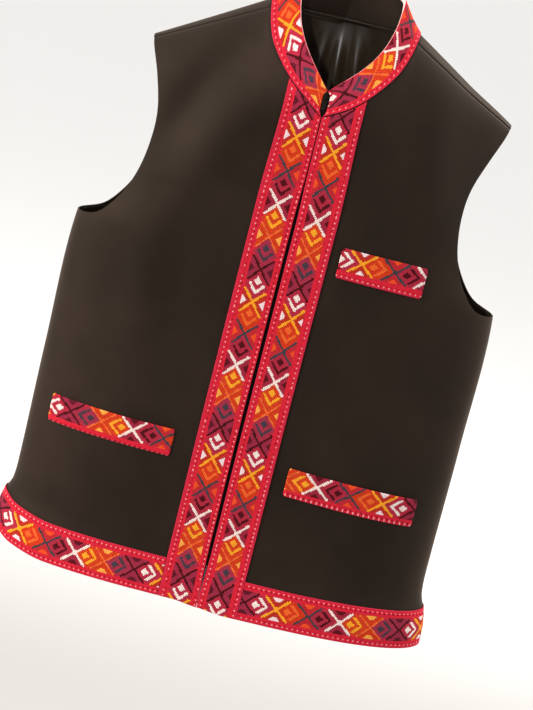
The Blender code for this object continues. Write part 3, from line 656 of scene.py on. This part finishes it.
def front_trim_point(side):
    """The places of one front trim, trimmed off at the neck edge."""
    def point(s, t, out):
        height = HEM + s
        inner = smooth(TRIM_SLOT, 1, height)
        outer = TRIM_OUTER - NARROWER * soft_step(height, *NARROWS)
        x = inner + (outer - inner) * t / TRIM_WIDE
        top = smooth(FRONT_NECK, 1, np.maximum(x, FRONT_NECK[0][0])) - 2 * GAP
        return skin(side * x, np.minimum(height, top), False, np.where(height > top, TRIM_OUT, out))
    return point


crosses = np.linspace(-1, 17, 400)  # counted down from the first maroon one
row_crosses = np.arange(16.5 * ROWS, -1 * ROWS, -1) / ROWS
for side, hand, first_cross, shift in FRONT_TRIMS:
    heights = first_cross - crosses * MOTIF_LONG + smooth(EASING, 1 if side < 0 else 2, crosses)
    lengths = np.interp(row_crosses, crosses, heights) - HEM
    lengths = lengths[(lengths > TRIM_CLEAR) & (lengths < TRIM_LONG - TRIM_CLEAR)]
    trim = band_sheet(
        f"front_trim_{hand}_band", np.concatenate(((0,), lengths, (TRIM_LONG,))), BAND_WIDTHS,
        lambda s, heights=heights: np.interp(-(s + HEM), -heights, crosses),
        lambda t, shift=shift: (t - TRIM_WIDE / 2) / FORTIETH - shift,
        front_trim_point(side),
    )
    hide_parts(f"front_trim_{hand}")

# Hem trim. The same band laid round the hem, in a piece for each front and one for the back, each ended at
# the side seams; the fronts' pieces run in under the front trims' outer edges.
HEMS = (  # name, side, behind, counts of motifs at the start of the length and per motif along it
    ("hem_trim_right", -1, False, 0.0347 / MOTIF_LONG, -1),
    ("hem_trim_left", 1, False, -0.0045 / MOTIF_LONG, 1),
    ("hem_trim_back", 1, True, 0.30, 1),
)
HEM_SAMPLES = 400


def run_along(line):
    """The length along a line up to each of its points."""
    return np.concatenate(((0,), np.cumsum(np.linalg.norm(np.diff(line, axis=0), axis=1))))


def hem_point(side, back):
    """Places of a hem trim by the length along it, and how long it is."""
    start = 0.0 if back else TRIM_OUTER + GAP
    outer = float(side_seam(HEM + TRIM_WIDE / 2, SEAM / 2))
    x = start + (outer - start) * np.sin(np.pi / 2 * np.linspace(0, 1, HEM_SAMPLES))
    run = run_along(skin(x, HEM + TRIM_WIDE / 2, back, TRIM_OUT))
    half = (x - start) / (outer - start)

    def point(s, t, out):
        height = HEM + t
        way = np.sign(s) if back else side
        x = start + (side_seam(height, SEAM / 2) - start) * np.interp(np.abs(s), run, half)
        return skin(way * x, height, back, out)
    return point, run[-1]


for name, side, behind, start, way in HEMS:
    point, long = hem_point(side, behind)
    trim = band_sheet(
        f"{name}_band", rows_of(start, way, -long if behind else 0, long), BAND_WIDTHS,
        lambda s, start=start, way=way: start + way * s / MOTIF_LONG,
        lambda t: (t - TRIM_WIDE / 2) / FORTIETH,
        point,
    )
    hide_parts(name)

# Collar stand. A strip of the suiting, doubled and stiffened, sewn up from the neck seam and leaning in; its
# front ends stand apart where the zip's slider sits.
COLLAR_START = 0.008  # where the stand starts above the neck seam, as a share of its height
COLLAR_LEAN = 0.0024  # how far its top stands over to the wearer's left
COLLAR_RIM_ROUND = 0.0005
COLLAR_COLUMNS, COLLAR_LEVELS, ROUND_SAMPLES = 161, 15, 900
RUN_STEP = 0.004  # share of the round over which the collar's direction is taken
END_STEP = 0.01  # and over which it is carried on at the ends
COLLAR_RIM = (  # x, y, height
    (0.0036, -0.0505, -0.0790), (0.0180, -0.0485, -0.0640), (0.0305, -0.0440, -0.0505),
    (0.0420, -0.0365, -0.0350), (0.0505, -0.0270, -0.0190), (0.0560, -0.0150, -0.0020),
    (0.0580, -0.0050, 0.0100), (0.0585, 0.0040, 0.0220), (0.0570, 0.0150, 0.0295),
    (0.0460, 0.0285, 0.0320), (0.0240, 0.0380, 0.0320), (0.0000, 0.0440, 0.0320),
)


def neck_ring():
    """The neck seam's points in the order of the rim's."""
    ring = []
    for edges, back, way in ((FRONT_NECK, False, -1), (BACK_NECK[::-1], True, 1)):
        x, height = np.array(edges).T
        y = way * full_depth(x, height, back) * np.sqrt(np.maximum(openness(x, height), 0))
        ring.append(np.stack((x, y, height), axis=-1))
    return np.concatenate(ring)


NECK_RING = neck_ring()


def collar_line(table, along):
    """The smooth curve through a ring's points, carried straight on before its start."""
    slope = (through(table, np.array(END_STEP)) - through(table, np.array(0.0))) / END_STEP
    return through(table, along) + np.minimum(along, 0)[..., None] * slope


def collar_point(turn, up, out=0.0):
    """Points of the collar: turn runs from -1 to 1 round the neck from end to end, up from 0 to 1."""
    turn, up, out = np.broadcast_arrays(np.asarray(turn, float), up, out)
    along, up, out = 1 - np.abs(turn), up[..., None], out[..., None]
    foot, rim = collar_line(NECK_RING, along), collar_line(COLLAR_RIM, along)
    ahead, after = np.minimum(along + RUN_STEP, 1.0), along - RUN_STEP
    foot_run = collar_line(NECK_RING, ahead) - collar_line(NECK_RING, after)
    rim_run = collar_line(COLLAR_RIM, ahead) - collar_line(COLLAR_RIM, after)
    normal = np.cross(foot_run + (rim_run - foot_run) * up, rim - foot)
    normal /= np.linalg.norm(normal, axis=-1, keepdims=True)
    point = foot + (rim - foot) * up + normal * out
    x = np.sign(turn + 1e-9) * point[..., 0] + COLLAR_LEAN * up[..., 0] * soft_step(along * 3)
    return settled(np.stack((x, point[..., 1], point[..., 2]), axis=-1))


def collar_turns(up, count, out=0.0, half=None):
    """Turns of evenly spaced columns at one level, and the length round it. half is how far the ends stand
    from the middle."""
    first, last = -1.0, 1.0
    if half is not None:
        start = collar_point(np.array((-1, END_STEP - 1)), up, out)[:, 0]
        end = collar_point(np.array((1 - END_STEP, 1)), up, out)[:, 0]
        first = -1 + (-half - start[0]) / (start[1] - start[0]) * END_STEP
        last = 1 + (half - end[1]) / (end[1] - end[0]) * END_STEP
    turns = np.linspace(first, last, ROUND_SAMPLES)
    run = run_along(collar_point(turns, up, out))
    return np.interp(np.linspace(0, run[-1], count), run, turns), run[-1]


levels = np.linspace(COLLAR_START, 1.0, COLLAR_LEVELS)
turns = np.array([collar_turns(up, COLLAR_COLUMNS)[0] for up in levels])
grid = collar_point(turns, levels[:, None])
stand = sheet("collar_stand_cloth", [grid], SUITING_THICK, COLLAR_RIM_ROUND)
stand.data.materials.append(suiting)
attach(stand, "garment")
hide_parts("collar_stand")

# Collar trim. The band once more, sewn round the outside of the stand with its lower edge along the neck
# seam; the rest of its width is turned over the stand's top edge, where a painted highlight colours the
# turned edge pale.
COLLAR_SLOT = (  # share of the height, half the space between the ends
    (0.0, 0.0012), (0.16, 0.0034), (0.50, 0.0042), (0.80, 0.0036), (0.92, 0.0018), (1.0, 0.0009),
)
COLLAR_MIDDLE = 0.022  # from the band's lower edge to the middle of its pattern
COLLAR_HIGH = 0.0345
TURNED_OVER = 0.0052  # length of band in the turn
STAND_HIGH = 0.034
ROLL_HIGH = 0.0017  # how far the turned edge rolls up over the stand's top
COLLAR_FACE_COLUMNS, COLLAR_ROLL_COLUMNS = 25, 7
# Painted highlight: the band is coloured pale where it rolls over the stand's top, in place of light along
# the rim.
RIM_PAINTED_HIGHLIGHT, RIM_HIGHLIGHT_FROM = np.array(linear("E9C9C4")), 0.30  # colour, and from what share of the turn
seam_length, rim_length = (collar_turns(up, 3)[1] for up in (COLLAR_START, 1.0))
COLLAR_LONG = (seam_length + rim_length) / 2
COLLAR_PITCH = (COLLAR_LONG - 0.027) / 11  # eleven motifs, and 27 mm over at the ends
COLLAR_CROSS, COLLAR_CROSS_AT = 4, 0.010  # which of the five crosses comes first, and where


def collar_trim_point(s, t, out):
    """t is the length up the band from its lower edge; past the rim it turns over the stand's top."""
    rise = np.clip(t / COLLAR_HIGH, 0, 1)
    level = COLLAR_START + (1 - COLLAR_START) * rise
    theta = np.clip((t - COLLAR_HIGH) / TURNED_OVER, 0, 1) * math.pi
    up = level + ROLL_HIGH * np.sin(theta) / STAND_HIGH
    columns = [
        collar_turns(float(level[0, k]), s.shape[0], TRIM_OUT, float(smooth(COLLAR_SLOT, 1, level[0, k])))[0]
        for k in range(s.shape[1])
    ]
    return collar_point(np.stack(columns, axis=1), up, out * np.cos(theta))


rise = np.linspace(0, COLLAR_HIGH, COLLAR_FACE_COLUMNS + 1)
roll = COLLAR_HIGH + TURNED_OVER * np.linspace(0, 1, COLLAR_ROLL_COLUMNS + 1)[1:]
trim = band_sheet(
    "collar_trim_band",
    rows_of(COLLAR_CROSS - COLLAR_CROSS_AT / COLLAR_PITCH, 1, 0, COLLAR_LONG, COLLAR_PITCH),
    np.concatenate((rise, roll)),
    lambda s: COLLAR_CROSS + (s - COLLAR_CROSS_AT) / COLLAR_PITCH,
    lambda t: (t - COLLAR_MIDDLE) / FORTIETH,
    collar_trim_point,
    edge=(lambda t: t > COLLAR_HIGH + TURNED_OVER * RIM_HIGHLIGHT_FROM, RIM_PAINTED_HIGHLIGHT),
)
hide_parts("collar_trim")

# Pocket welts. Three lengths of the band, each folded along its top edge and turned in below and at the
# ends, laid over a pocket's mouth and sewn down at the bottom and the ends; the top stands a little clear.
WELT_CLOTH = 0.0009
WELT_NEAR = SUITING_THICK / 2 + GAP + WELT_CLOTH / 2  # from the suiting's middle to the turned-in layer's
WELT_FAR = WELT_NEAR + WELT_CLOTH  # and to the face's
WELT_TURN = math.pi * WELT_CLOTH / 2  # length of band in a fold
WELT_BEHIND = 0.007  # how far it goes down behind
FOLD_ROWS, BEHIND_ROWS = 4, 6
WELT_STAND, WELT_SEWN = 0.0006, 0.012  # how far the top stands clear, and its sewn ends
WELT_ROUND, WELT_SUNK = 0.0016, 0.6  # over how far an end rounds in, and what share of the way to the front
CORNER_HIGH, CORNER_LONG, CORNER_IN = 0.003, 0.004, 0.0012  # a rounded corner's size, and how far in it comes
WELTS = (  # name, x, height, wide, high, fall, top to the pattern's middle, cross at its start, way, on
    ("chest_welt", 0.1082, -0.2598, 0.0980, 0.0335, -0.0027, 0.0119, 1, 1, 0.0253),
    ("pocket_welt_left", 0.1390, -0.5250, 0.1500, 0.0325, -0.0076, 0.0123, 0, -1, 0.0012),
    ("pocket_welt_right", -0.1480, -0.5155, 0.1490, 0.0310, 0.0010, 0.0124, 2, -1, 0.0105),
)


def welt_point(x, height, wide, high, fall):
    """s runs from the wearer's right end; t up the welt's face, then over the fold and down behind."""
    def point(s, t, out):
        over, under = np.maximum(t - high, 0), np.maximum(-t, 0)
        theta = (np.minimum(over / WELT_TURN, 1) - np.minimum(under / WELT_TURN, 1)) * math.pi
        behind = np.maximum(over - WELT_TURN, 0) - np.maximum(under - WELT_TURN, 0)
        up = np.clip(t, 0, high) - behind + np.sin(theta) * WELT_CLOTH / 2
        level = WELT_NEAR + (WELT_FAR - WELT_NEAR) * (1 + np.cos(theta)) / 2
        end = np.minimum(s, wide - s)
        away = np.clip(1 - end / WELT_ROUND, 0, 1)
        level = level - (1 - np.sqrt(1 - away ** 2)) * WELT_SUNK * (level - WELT_NEAR)
        corner = np.clip(1 - np.minimum(up, high - up) / CORNER_HIGH, 0, 1)
        inward = corner ** 2 * CORNER_IN * (1 - np.clip(end / CORNER_LONG, 0, 1)) * np.sign(s - wide / 2)
        across = (s - inward) / wide - 0.5
        lift = WELT_STAND * np.clip(up / high, 0, 1) ** 2 * np.clip(end / WELT_SEWN, 0, 1)
        place_z = height + up - high / 2 + across * fall
        return skin(x + across * wide, place_z, False, level + lift + out * np.cos(theta))
    return point


fold = WELT_TURN * np.linspace(0, 1, FOLD_ROWS + 1)[1:]
for name, x, height, wide, high, fall, drop, cross, way, on in WELTS:
    start = cross + ((wide if way < 0 else 0) - on) / MOTIF_LONG
    face = np.linspace(0, high, round(high / STITCH) + 1)
    down = high + WELT_TURN + WELT_BEHIND * np.linspace(0, 1, BEHIND_ROWS + 1)[1:]
    trim = band_sheet(
        f"{name}_band", rows_of(start, way, 0, wide), np.concatenate((-fold[::-1], face, high + fold, down)),
        lambda s, start=start, way=way: start + way * s / MOTIF_LONG,
        lambda t, high=high, drop=drop: (t - high + drop) / FORTIETH,
        welt_point(x, height, wide, high, fall), thick=WELT_CLOTH, out=0.0,
    )
    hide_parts(name)
    hand = "left" if x > 0 else "right"

# Zip. Two cotton tapes sewn behind the front edges and on up the collar's ends, and the teeth along their
# inner edges, closed; they show as a dark line between the two trims.
TAPE_THICK = 0.0007
TAPE_EDGES = (0.0002, 0.0140)  # from the middle of the zip
TAPE_ROWS, TAPE_COLUMNS, ZIP_SAMPLES = 220, 9, 2000
TAPE_IN = SUITING_THICK / 2 + GAP + 0.0004  # from the suiting's middle to the tape's
ZIP_SET_BACK = 0.0006  # how much deeper it lies in the collar
ZIP_HEIGHTS = (
    -0.692, -0.665, -0.650, -0.636, -0.612, -0.560, -0.500, -0.440, -0.380, -0.330, -0.289, -0.240, -0.195,
    -0.150, -0.116,
)
COLLAR_SHARES = (0.12, 0.45, 0.80)  # and up the collar's end
NECK_FOOT = skin(np.array(0.0), np.array(FRONT_NECK[0][1])) * (0, 1, 1)
RIM_FOOT = np.array((0.0, COLLAR_RIM[0][1], COLLAR_RIM[0][2]))
COLLAR_END = RIM_FOOT - NECK_FOOT
END_UP = COLLAR_END / np.linalg.norm(COLLAR_END)
END_OUT = np.array((0.0, -END_UP[2], END_UP[1]))


def zip_path(inward):
    """Points up the middle of the front and the collar's end, moved in from the cloth, and their run."""
    low = skin(np.zeros(len(ZIP_HEIGHTS)), np.array(ZIP_HEIGHTS), False, -inward)
    high = [NECK_FOOT + COLLAR_END * share - END_OUT * (inward + ZIP_SET_BACK) for share in COLLAR_SHARES]
    line = through(np.concatenate((low, high)), np.linspace(0, 1, ZIP_SAMPLES))
    return line, run_along(line)


def on_path(line, run, lengths):
    """The places at these lengths along a path."""
    return np.stack([np.interp(lengths, run, line[:, k]) for k in range(3)], axis=-1)


# Cotton herringbone tape, dyed near black red: matt, so that beside the teeth it only deepens the dark line.
tape, shader = new_material("Cotton zip tape", (("Roughness", 0.85), ("Base Color", (*linear("24090B"), 1))))
place = add(tape, "ShaderNodeTexCoord").outputs["Object"]
weave = add(tape, "ShaderNodeTexWave", (("Scale", 260.0), ("Distortion", 0.4)), Vector=place)
bump = add(tape, "ShaderNodeBump", (("Strength", 0.4), ("Distance", 0.0002)), Height=weave.outputs["Fac"])
join(tape, bump.outputs["Normal"], shader.inputs["Normal"])
line, run = zip_path(TAPE_IN)
middle = on_path(line, run, np.linspace(0, run[-1], TAPE_ROWS))
for side, hand in ((-1, "right"), (1, "left")):
    across = side * np.linspace(*TAPE_EDGES, TAPE_COLUMNS)
    grid = middle[:, None] + across[None, :, None] * np.array((1.0, 0, 0))
    strip = sheet(f"zip_tape_{hand}_strip", [grid], TAPE_THICK)
    strip.data.materials.append(tape)
    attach(strip, "garment")
    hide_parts(f"zip_tape_{hand}")

# Zip chain. Small metal teeth, each clamped on its tape's edge and locked past the middle between the two
# of the other side, 1.2 mm from tooth to tooth. One is modelled, and the rest are copies of it.
TOOTH_STEP = 0.0012
CHAIN_CLEAR = 0.002  # from the tapes' ends to the first and the last tooth
TOOTH_ROOT = (0.0015, 0.0016, 0.0010)  # across, deep, along: the part that clamps the tape's bead
ROOT_MIDDLE = 0.00175
TOOTH_TAPERS = ((0.0012, 0.78, 0.72), (0.0004, 0.65, 0.56))  # how far on, and how much less deep and long


def block(name, size, place, rounding=0, segments=3):
    """A cube shaped in edit mode: sized, placed and its edges rounded."""
    bpy.ops.object.select_all(action="DESELECT")
    bpy.ops.mesh.primitive_cube_add(size=1.0)
    piece = bpy.context.object
    piece.name = name
    bpy.ops.object.mode_set(mode="EDIT")
    bpy.ops.mesh.select_all(action="SELECT")
    bpy.ops.transform.resize(value=size)
    bpy.ops.transform.translate(value=place)
    if rounding:
        bpy.ops.mesh.bevel(offset=rounding, segments=segments)
    bpy.ops.mesh.select_all(action="DESELECT")
    bpy.ops.object.mode_set(mode="OBJECT")
    return piece


tooth = block("tooth", TOOTH_ROOT, (ROOT_MIDDLE, 0, 0))
for face in tooth.data.polygons:
    face.select = face.normal.x < -0.9  # the one that looks to the other side's teeth
bpy.ops.object.mode_set(mode="EDIT")
bpy.ops.mesh.select_mode(type="FACE")
for reach, deep, long in TOOTH_TAPERS:
    bpy.ops.mesh.extrude_region_move(TRANSFORM_OT_translate={"value": (-reach, 0, 0)})
    bpy.ops.transform.resize(value=(1, deep, long))
bpy.ops.object.mode_set(mode="OBJECT")

line, run = zip_path(0.0)
middles = on_path(line, run, np.arange(CHAIN_CLEAR, run[-1] - CHAIN_CLEAR, TOOTH_STEP))
ups = np.gradient(middles, axis=0)
ups /= np.linalg.norm(ups, axis=1, keepdims=True)
chain = []
for k, (middle, up) in enumerate(zip(middles, ups)):
    side = 1 if k % 2 else -1
    turn = Matrix(((side, 0, 0), (0, side * up[2], -side * up[1]), up)).transposed().to_4x4()
    copy = bpy.data.objects.new("zip_chain_teeth", tooth.data.copy())
    copy.data.transform(Matrix.Translation(middle) @ turn)
    bpy.context.scene.collection.objects.link(copy)
    chain.append(copy)
bpy.data.objects.remove(tooth)
only(chain[0])
for copy in chain:
    copy.select_set(True)
bpy.ops.object.join()
teeth = bpy.context.object

# Blackened zinc: a dark plated metal, half bright, with worn and dusty patches.
zinc, shader = new_material("Blackened zinc", (
    ("Metallic", 0.9), ("Roughness", 0.36), ("Base Color", (*linear("151210"), 1)),
))
place = add(zinc, "ShaderNodeTexCoord").outputs["Object"]
worn = add(zinc, "ShaderNodeTexNoise", (("Scale", 420.0), ("Detail", 3.0)), Vector=place)
rough = add(zinc, "ShaderNodeMapRange", ((1, 0.3), (2, 0.7), (3, 0.34), (4, 0.58)), _0=worn.outputs["Fac"])
join(zinc, rough.outputs[0], shader.inputs["Roughness"])
teeth.data.materials.append(zinc)
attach(teeth, "garment")
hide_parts("zip_chain")

# Zip slider. A cast plate that rides on the closed chain just below the collar's rim, with a small arch
# over which its pull tab hangs.
PLATE_FACE = 0.0011  # from the chain's middle to the plate's back
PLATE_THICK = 0.0010
PLATE_TOP = PLATE_FACE + PLATE_THICK
PLATE_ROUND = 0.00045
SLIDER_WIDE, SLIDER_HIGH = 0.0058, 0.0080
SLIDER_UP = 0.70  # share of the way up the collar's end
ARCH_HALF, ARCH_WIRE, ARCH_SUNK = 0.0030, 0.0005, 0.0002
PIN_LIFT = 0.0009  # from the plate to the tab's middle
METAL_SMOOTH = math.radians(40)  # edges flatter than this look smooth
slider_place = NECK_FOOT + COLLAR_END * SLIDER_UP - END_OUT * ZIP_SET_BACK
tilt = Matrix((np.cross(END_OUT, END_UP), END_OUT, END_UP)).transposed().to_4x4()
SLIDER_FRAME = Matrix.Translation(slider_place) @ tilt


def fitted(piece, body):
    """Places a piece modelled in the slider's frame, and gives it its finish and body."""
    piece.data.transform(SLIDER_FRAME)
    only(piece)
    bpy.ops.object.shade_smooth_by_angle(angle=METAL_SMOOTH)
    piece.data.materials.append(zinc)
    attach(piece, body)


size = (SLIDER_WIDE, PLATE_THICK, SLIDER_HIGH)
plate = block("zip_slider_body", size, (0, PLATE_FACE + PLATE_THICK / 2, 0), PLATE_ROUND)
foot = PLATE_TOP - ARCH_SUNK
peak = PLATE_TOP + PIN_LIFT + ARCH_WIRE + GAP + ARCH_WIRE
bpy.ops.object.select_all(action="DESELECT")
bpy.ops.mesh.primitive_torus_add(
    major_radius=ARCH_HALF, minor_radius=ARCH_WIRE, major_segments=32, minor_segments=10,
    rotation=(0, math.pi / 2, 0), location=(0, foot, 0),
)
arch = bpy.context.object
bpy.ops.object.transform_apply(location=True, rotation=True)
bpy.ops.object.mode_set(mode="EDIT")
bpy.ops.mesh.select_all(action="SELECT")
bpy.ops.mesh.bisect(plane_co=(0, foot, 0), plane_no=(0, 1, 0), clear_inner=True, use_fill=True)
bpy.ops.object.mode_set(mode="OBJECT")
for spot in arch.data.vertices:
    spot.co.y = foot + (spot.co.y - foot) * (peak - foot) / ARCH_HALF
only(plate)
arch.select_set(True)
bpy.ops.object.join()
fitted(plate, "garment")
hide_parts("zip_slider")

# Pull tab. A flat stamped tab with a window at its top, hung on the slider's arch, down over the zip.
TAB_LONG, TAB_WIDE, TAB_THICK = 0.0155, 0.0046, 0.0010
TAB_ROUND, WINDOW_ROUND = 0.0004, 0.0003
TAB_OVER = 0.0005  # of the tab above its hinge, and between the hinge and the window's top
WINDOW_WIDE, WINDOW_HIGH = 0.0022, ARCH_HALF + ARCH_WIRE + 2 * GAP
CUTTER_DEEP = 0.01
PIN_AT = PLATE_TOP + PIN_LIFT
size = (TAB_WIDE, TAB_THICK, TAB_LONG)
tab = block("zip_pull_tab_plate", size, (0, PIN_AT, TAB_OVER - TAB_LONG / 2), TAB_ROUND)
size = (WINDOW_WIDE, CUTTER_DEEP, WINDOW_HIGH)
cutter = block("tab_window", size, (0, PIN_AT, -TAB_OVER - WINDOW_HIGH / 2), WINDOW_ROUND, 2)
only(tab)
cut = tab.modifiers.new("Window", "BOOLEAN")
cut.operation = "DIFFERENCE"
cut.solver = "EXACT"
cut.object = cutter
bpy.ops.object.modifier_apply(modifier=cut.name)
bpy.data.objects.remove(cutter)
fitted(tab, "pull_tab")
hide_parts("zip_pull_tab")

# Studio. A pale seamless floor far below, greyed near the camera by painted shade, a pale wall with a dimmer
# ceiling, a key light low on the left, a fill on the right, two lights from behind for the edges, a soft
# window light and a narrow one into the neck. The camera is rolled, so that the garment leans as it does in
# the photograph.
FLOOR_AT, FLOOR_WIDE = (0, 12, -1.15), 120
bpy.ops.object.select_all(action="DESELECT")
bpy.ops.mesh.primitive_plane_add(size=FLOOR_WIDE, location=FLOOR_AT)
floor = bpy.context.object
floor.name = "studio_floor"
# Backdrop paper: matt and without hue, so that it only takes the light's. Its base colour greys from white
# far off to 0.40 near the camera: painted shade on the floor.
paper, shader = new_material("Pale backdrop paper", (("Roughness", 0.9),))
place = add(paper, "ShaderNodeTexCoord").outputs["Object"]
parts = add(paper, "ShaderNodeSeparateXYZ", Vector=place)
away = add(paper, "ShaderNodeMapRange", (
    ("interpolation_type", "SMOOTHSTEP"), (1, -11.4), (2, -9.8), (3, 0.40), (4, 1.0),
), _0=parts.outputs[1])
join(paper, away.outputs[0], shader.inputs["Base Color"])
floor.data.materials.append(paper)

WALL_TOP, CEILING_FROM = 0.08, 0.20  # heights of a ray's direction
WALL_BRIGHT, CEILING_BRIGHT = 0.95, 0.53
world = bpy.data.worlds.new("Studio")
bpy.context.scene.world = world
world.use_nodes = True
backdrop = world.node_tree.nodes["Background"]
backdrop.inputs["Color"].default_value = (*linear("FFFFFF"), 1)
place = add(world, "ShaderNodeTexCoord").outputs["Generated"]
parts = add(world, "ShaderNodeSeparateXYZ", Vector=place)
glow = add(world, "ShaderNodeMapRange", (
    (1, WALL_TOP), (2, CEILING_FROM), (3, WALL_BRIGHT), (4, CEILING_BRIGHT),
), _0=parts.outputs[2])
join(world, glow.outputs[0], backdrop.inputs["Strength"])

AIM = Vector((0.00465, 0.0, -0.4015))  # what the camera and the round lights look at
ROUND_LIGHTS = (  # name, place, diameter, watts, colour
    ("key", (-2.3, -1.2, 0.05), 0.9, 62.0, (1.0, 0.92, 0.83)),
    ("fill", (2.2, -0.8, 0.6), 1.0, 30.0, (1.0, 0.96, 0.98)),
    ("edge", (-1.5, 0.7, 0.9), 0.8, 22.0, (1.0, 0.94, 0.86)),
    ("far edge", (1.4, 0.6, 1.0), 0.8, 46.0, (1.0, 0.95, 0.88)),
)
WINDOW_FROM = Vector((-0.62, -0.50, 0.60))
NECK_LAMP_AT = Vector((-0.50, -2.20, 0.45))
NECK_AIM = Vector((0.005, 0.05, -0.045))


def new_light(name, kind, power, colour, place, way):
    """A light at a place, shining the way given."""
    light = bpy.data.lights.new(name, kind)
    light.energy = power
    light.color = colour
    lamp = bpy.data.objects.new(name, light)
    lamp.location = place
    lamp.rotation_euler = way.to_track_quat("-Z", "Y").to_euler()
    bpy.context.scene.collection.objects.link(lamp)
    return light


for name, place, wide, power, colour in ROUND_LIGHTS:
    light = new_light(name, "AREA", power, colour, place, AIM - Vector(place))
    light.shape = "DISK"
    light.size = wide
window = new_light("window light", "SUN", 1.8, (1.0, 0.95, 0.89), (0, 0, 0), -WINDOW_FROM)
window.angle = math.radians(50)
neck_light = new_light("neck light", "SPOT", 165.0, (1.0, 1.0, 1.0), NECK_LAMP_AT, NECK_AIM - NECK_LAMP_AT)
neck_light.spot_size = math.radians(4.4)
neck_light.spot_blend = 1.0
neck_light.shadow_soft_size = 0.05

ELEVATION = math.radians(14.0)
ROLL = math.radians(14.0)
DISTANCE = 2.6
camera = bpy.data.cameras.new("camera")
camera.sensor_fit = "VERTICAL"
camera.sensor_height = 36.0
camera.lens = 113.4
eye = bpy.data.objects.new("camera", camera)
eye.location = AIM + DISTANCE * Vector((0, -math.cos(ELEVATION), math.sin(ELEVATION)))
level = (AIM - eye.location).to_track_quat("-Z", "Y").to_matrix().to_4x4()
eye.rotation_euler = (level @ Matrix.Rotation(ROLL, 4, "Z")).to_euler()
bpy.context.scene.collection.objects.link(eye)
bpy.context.scene.camera = eye
bpy.context.scene.view_settings.view_transform = "Standard"
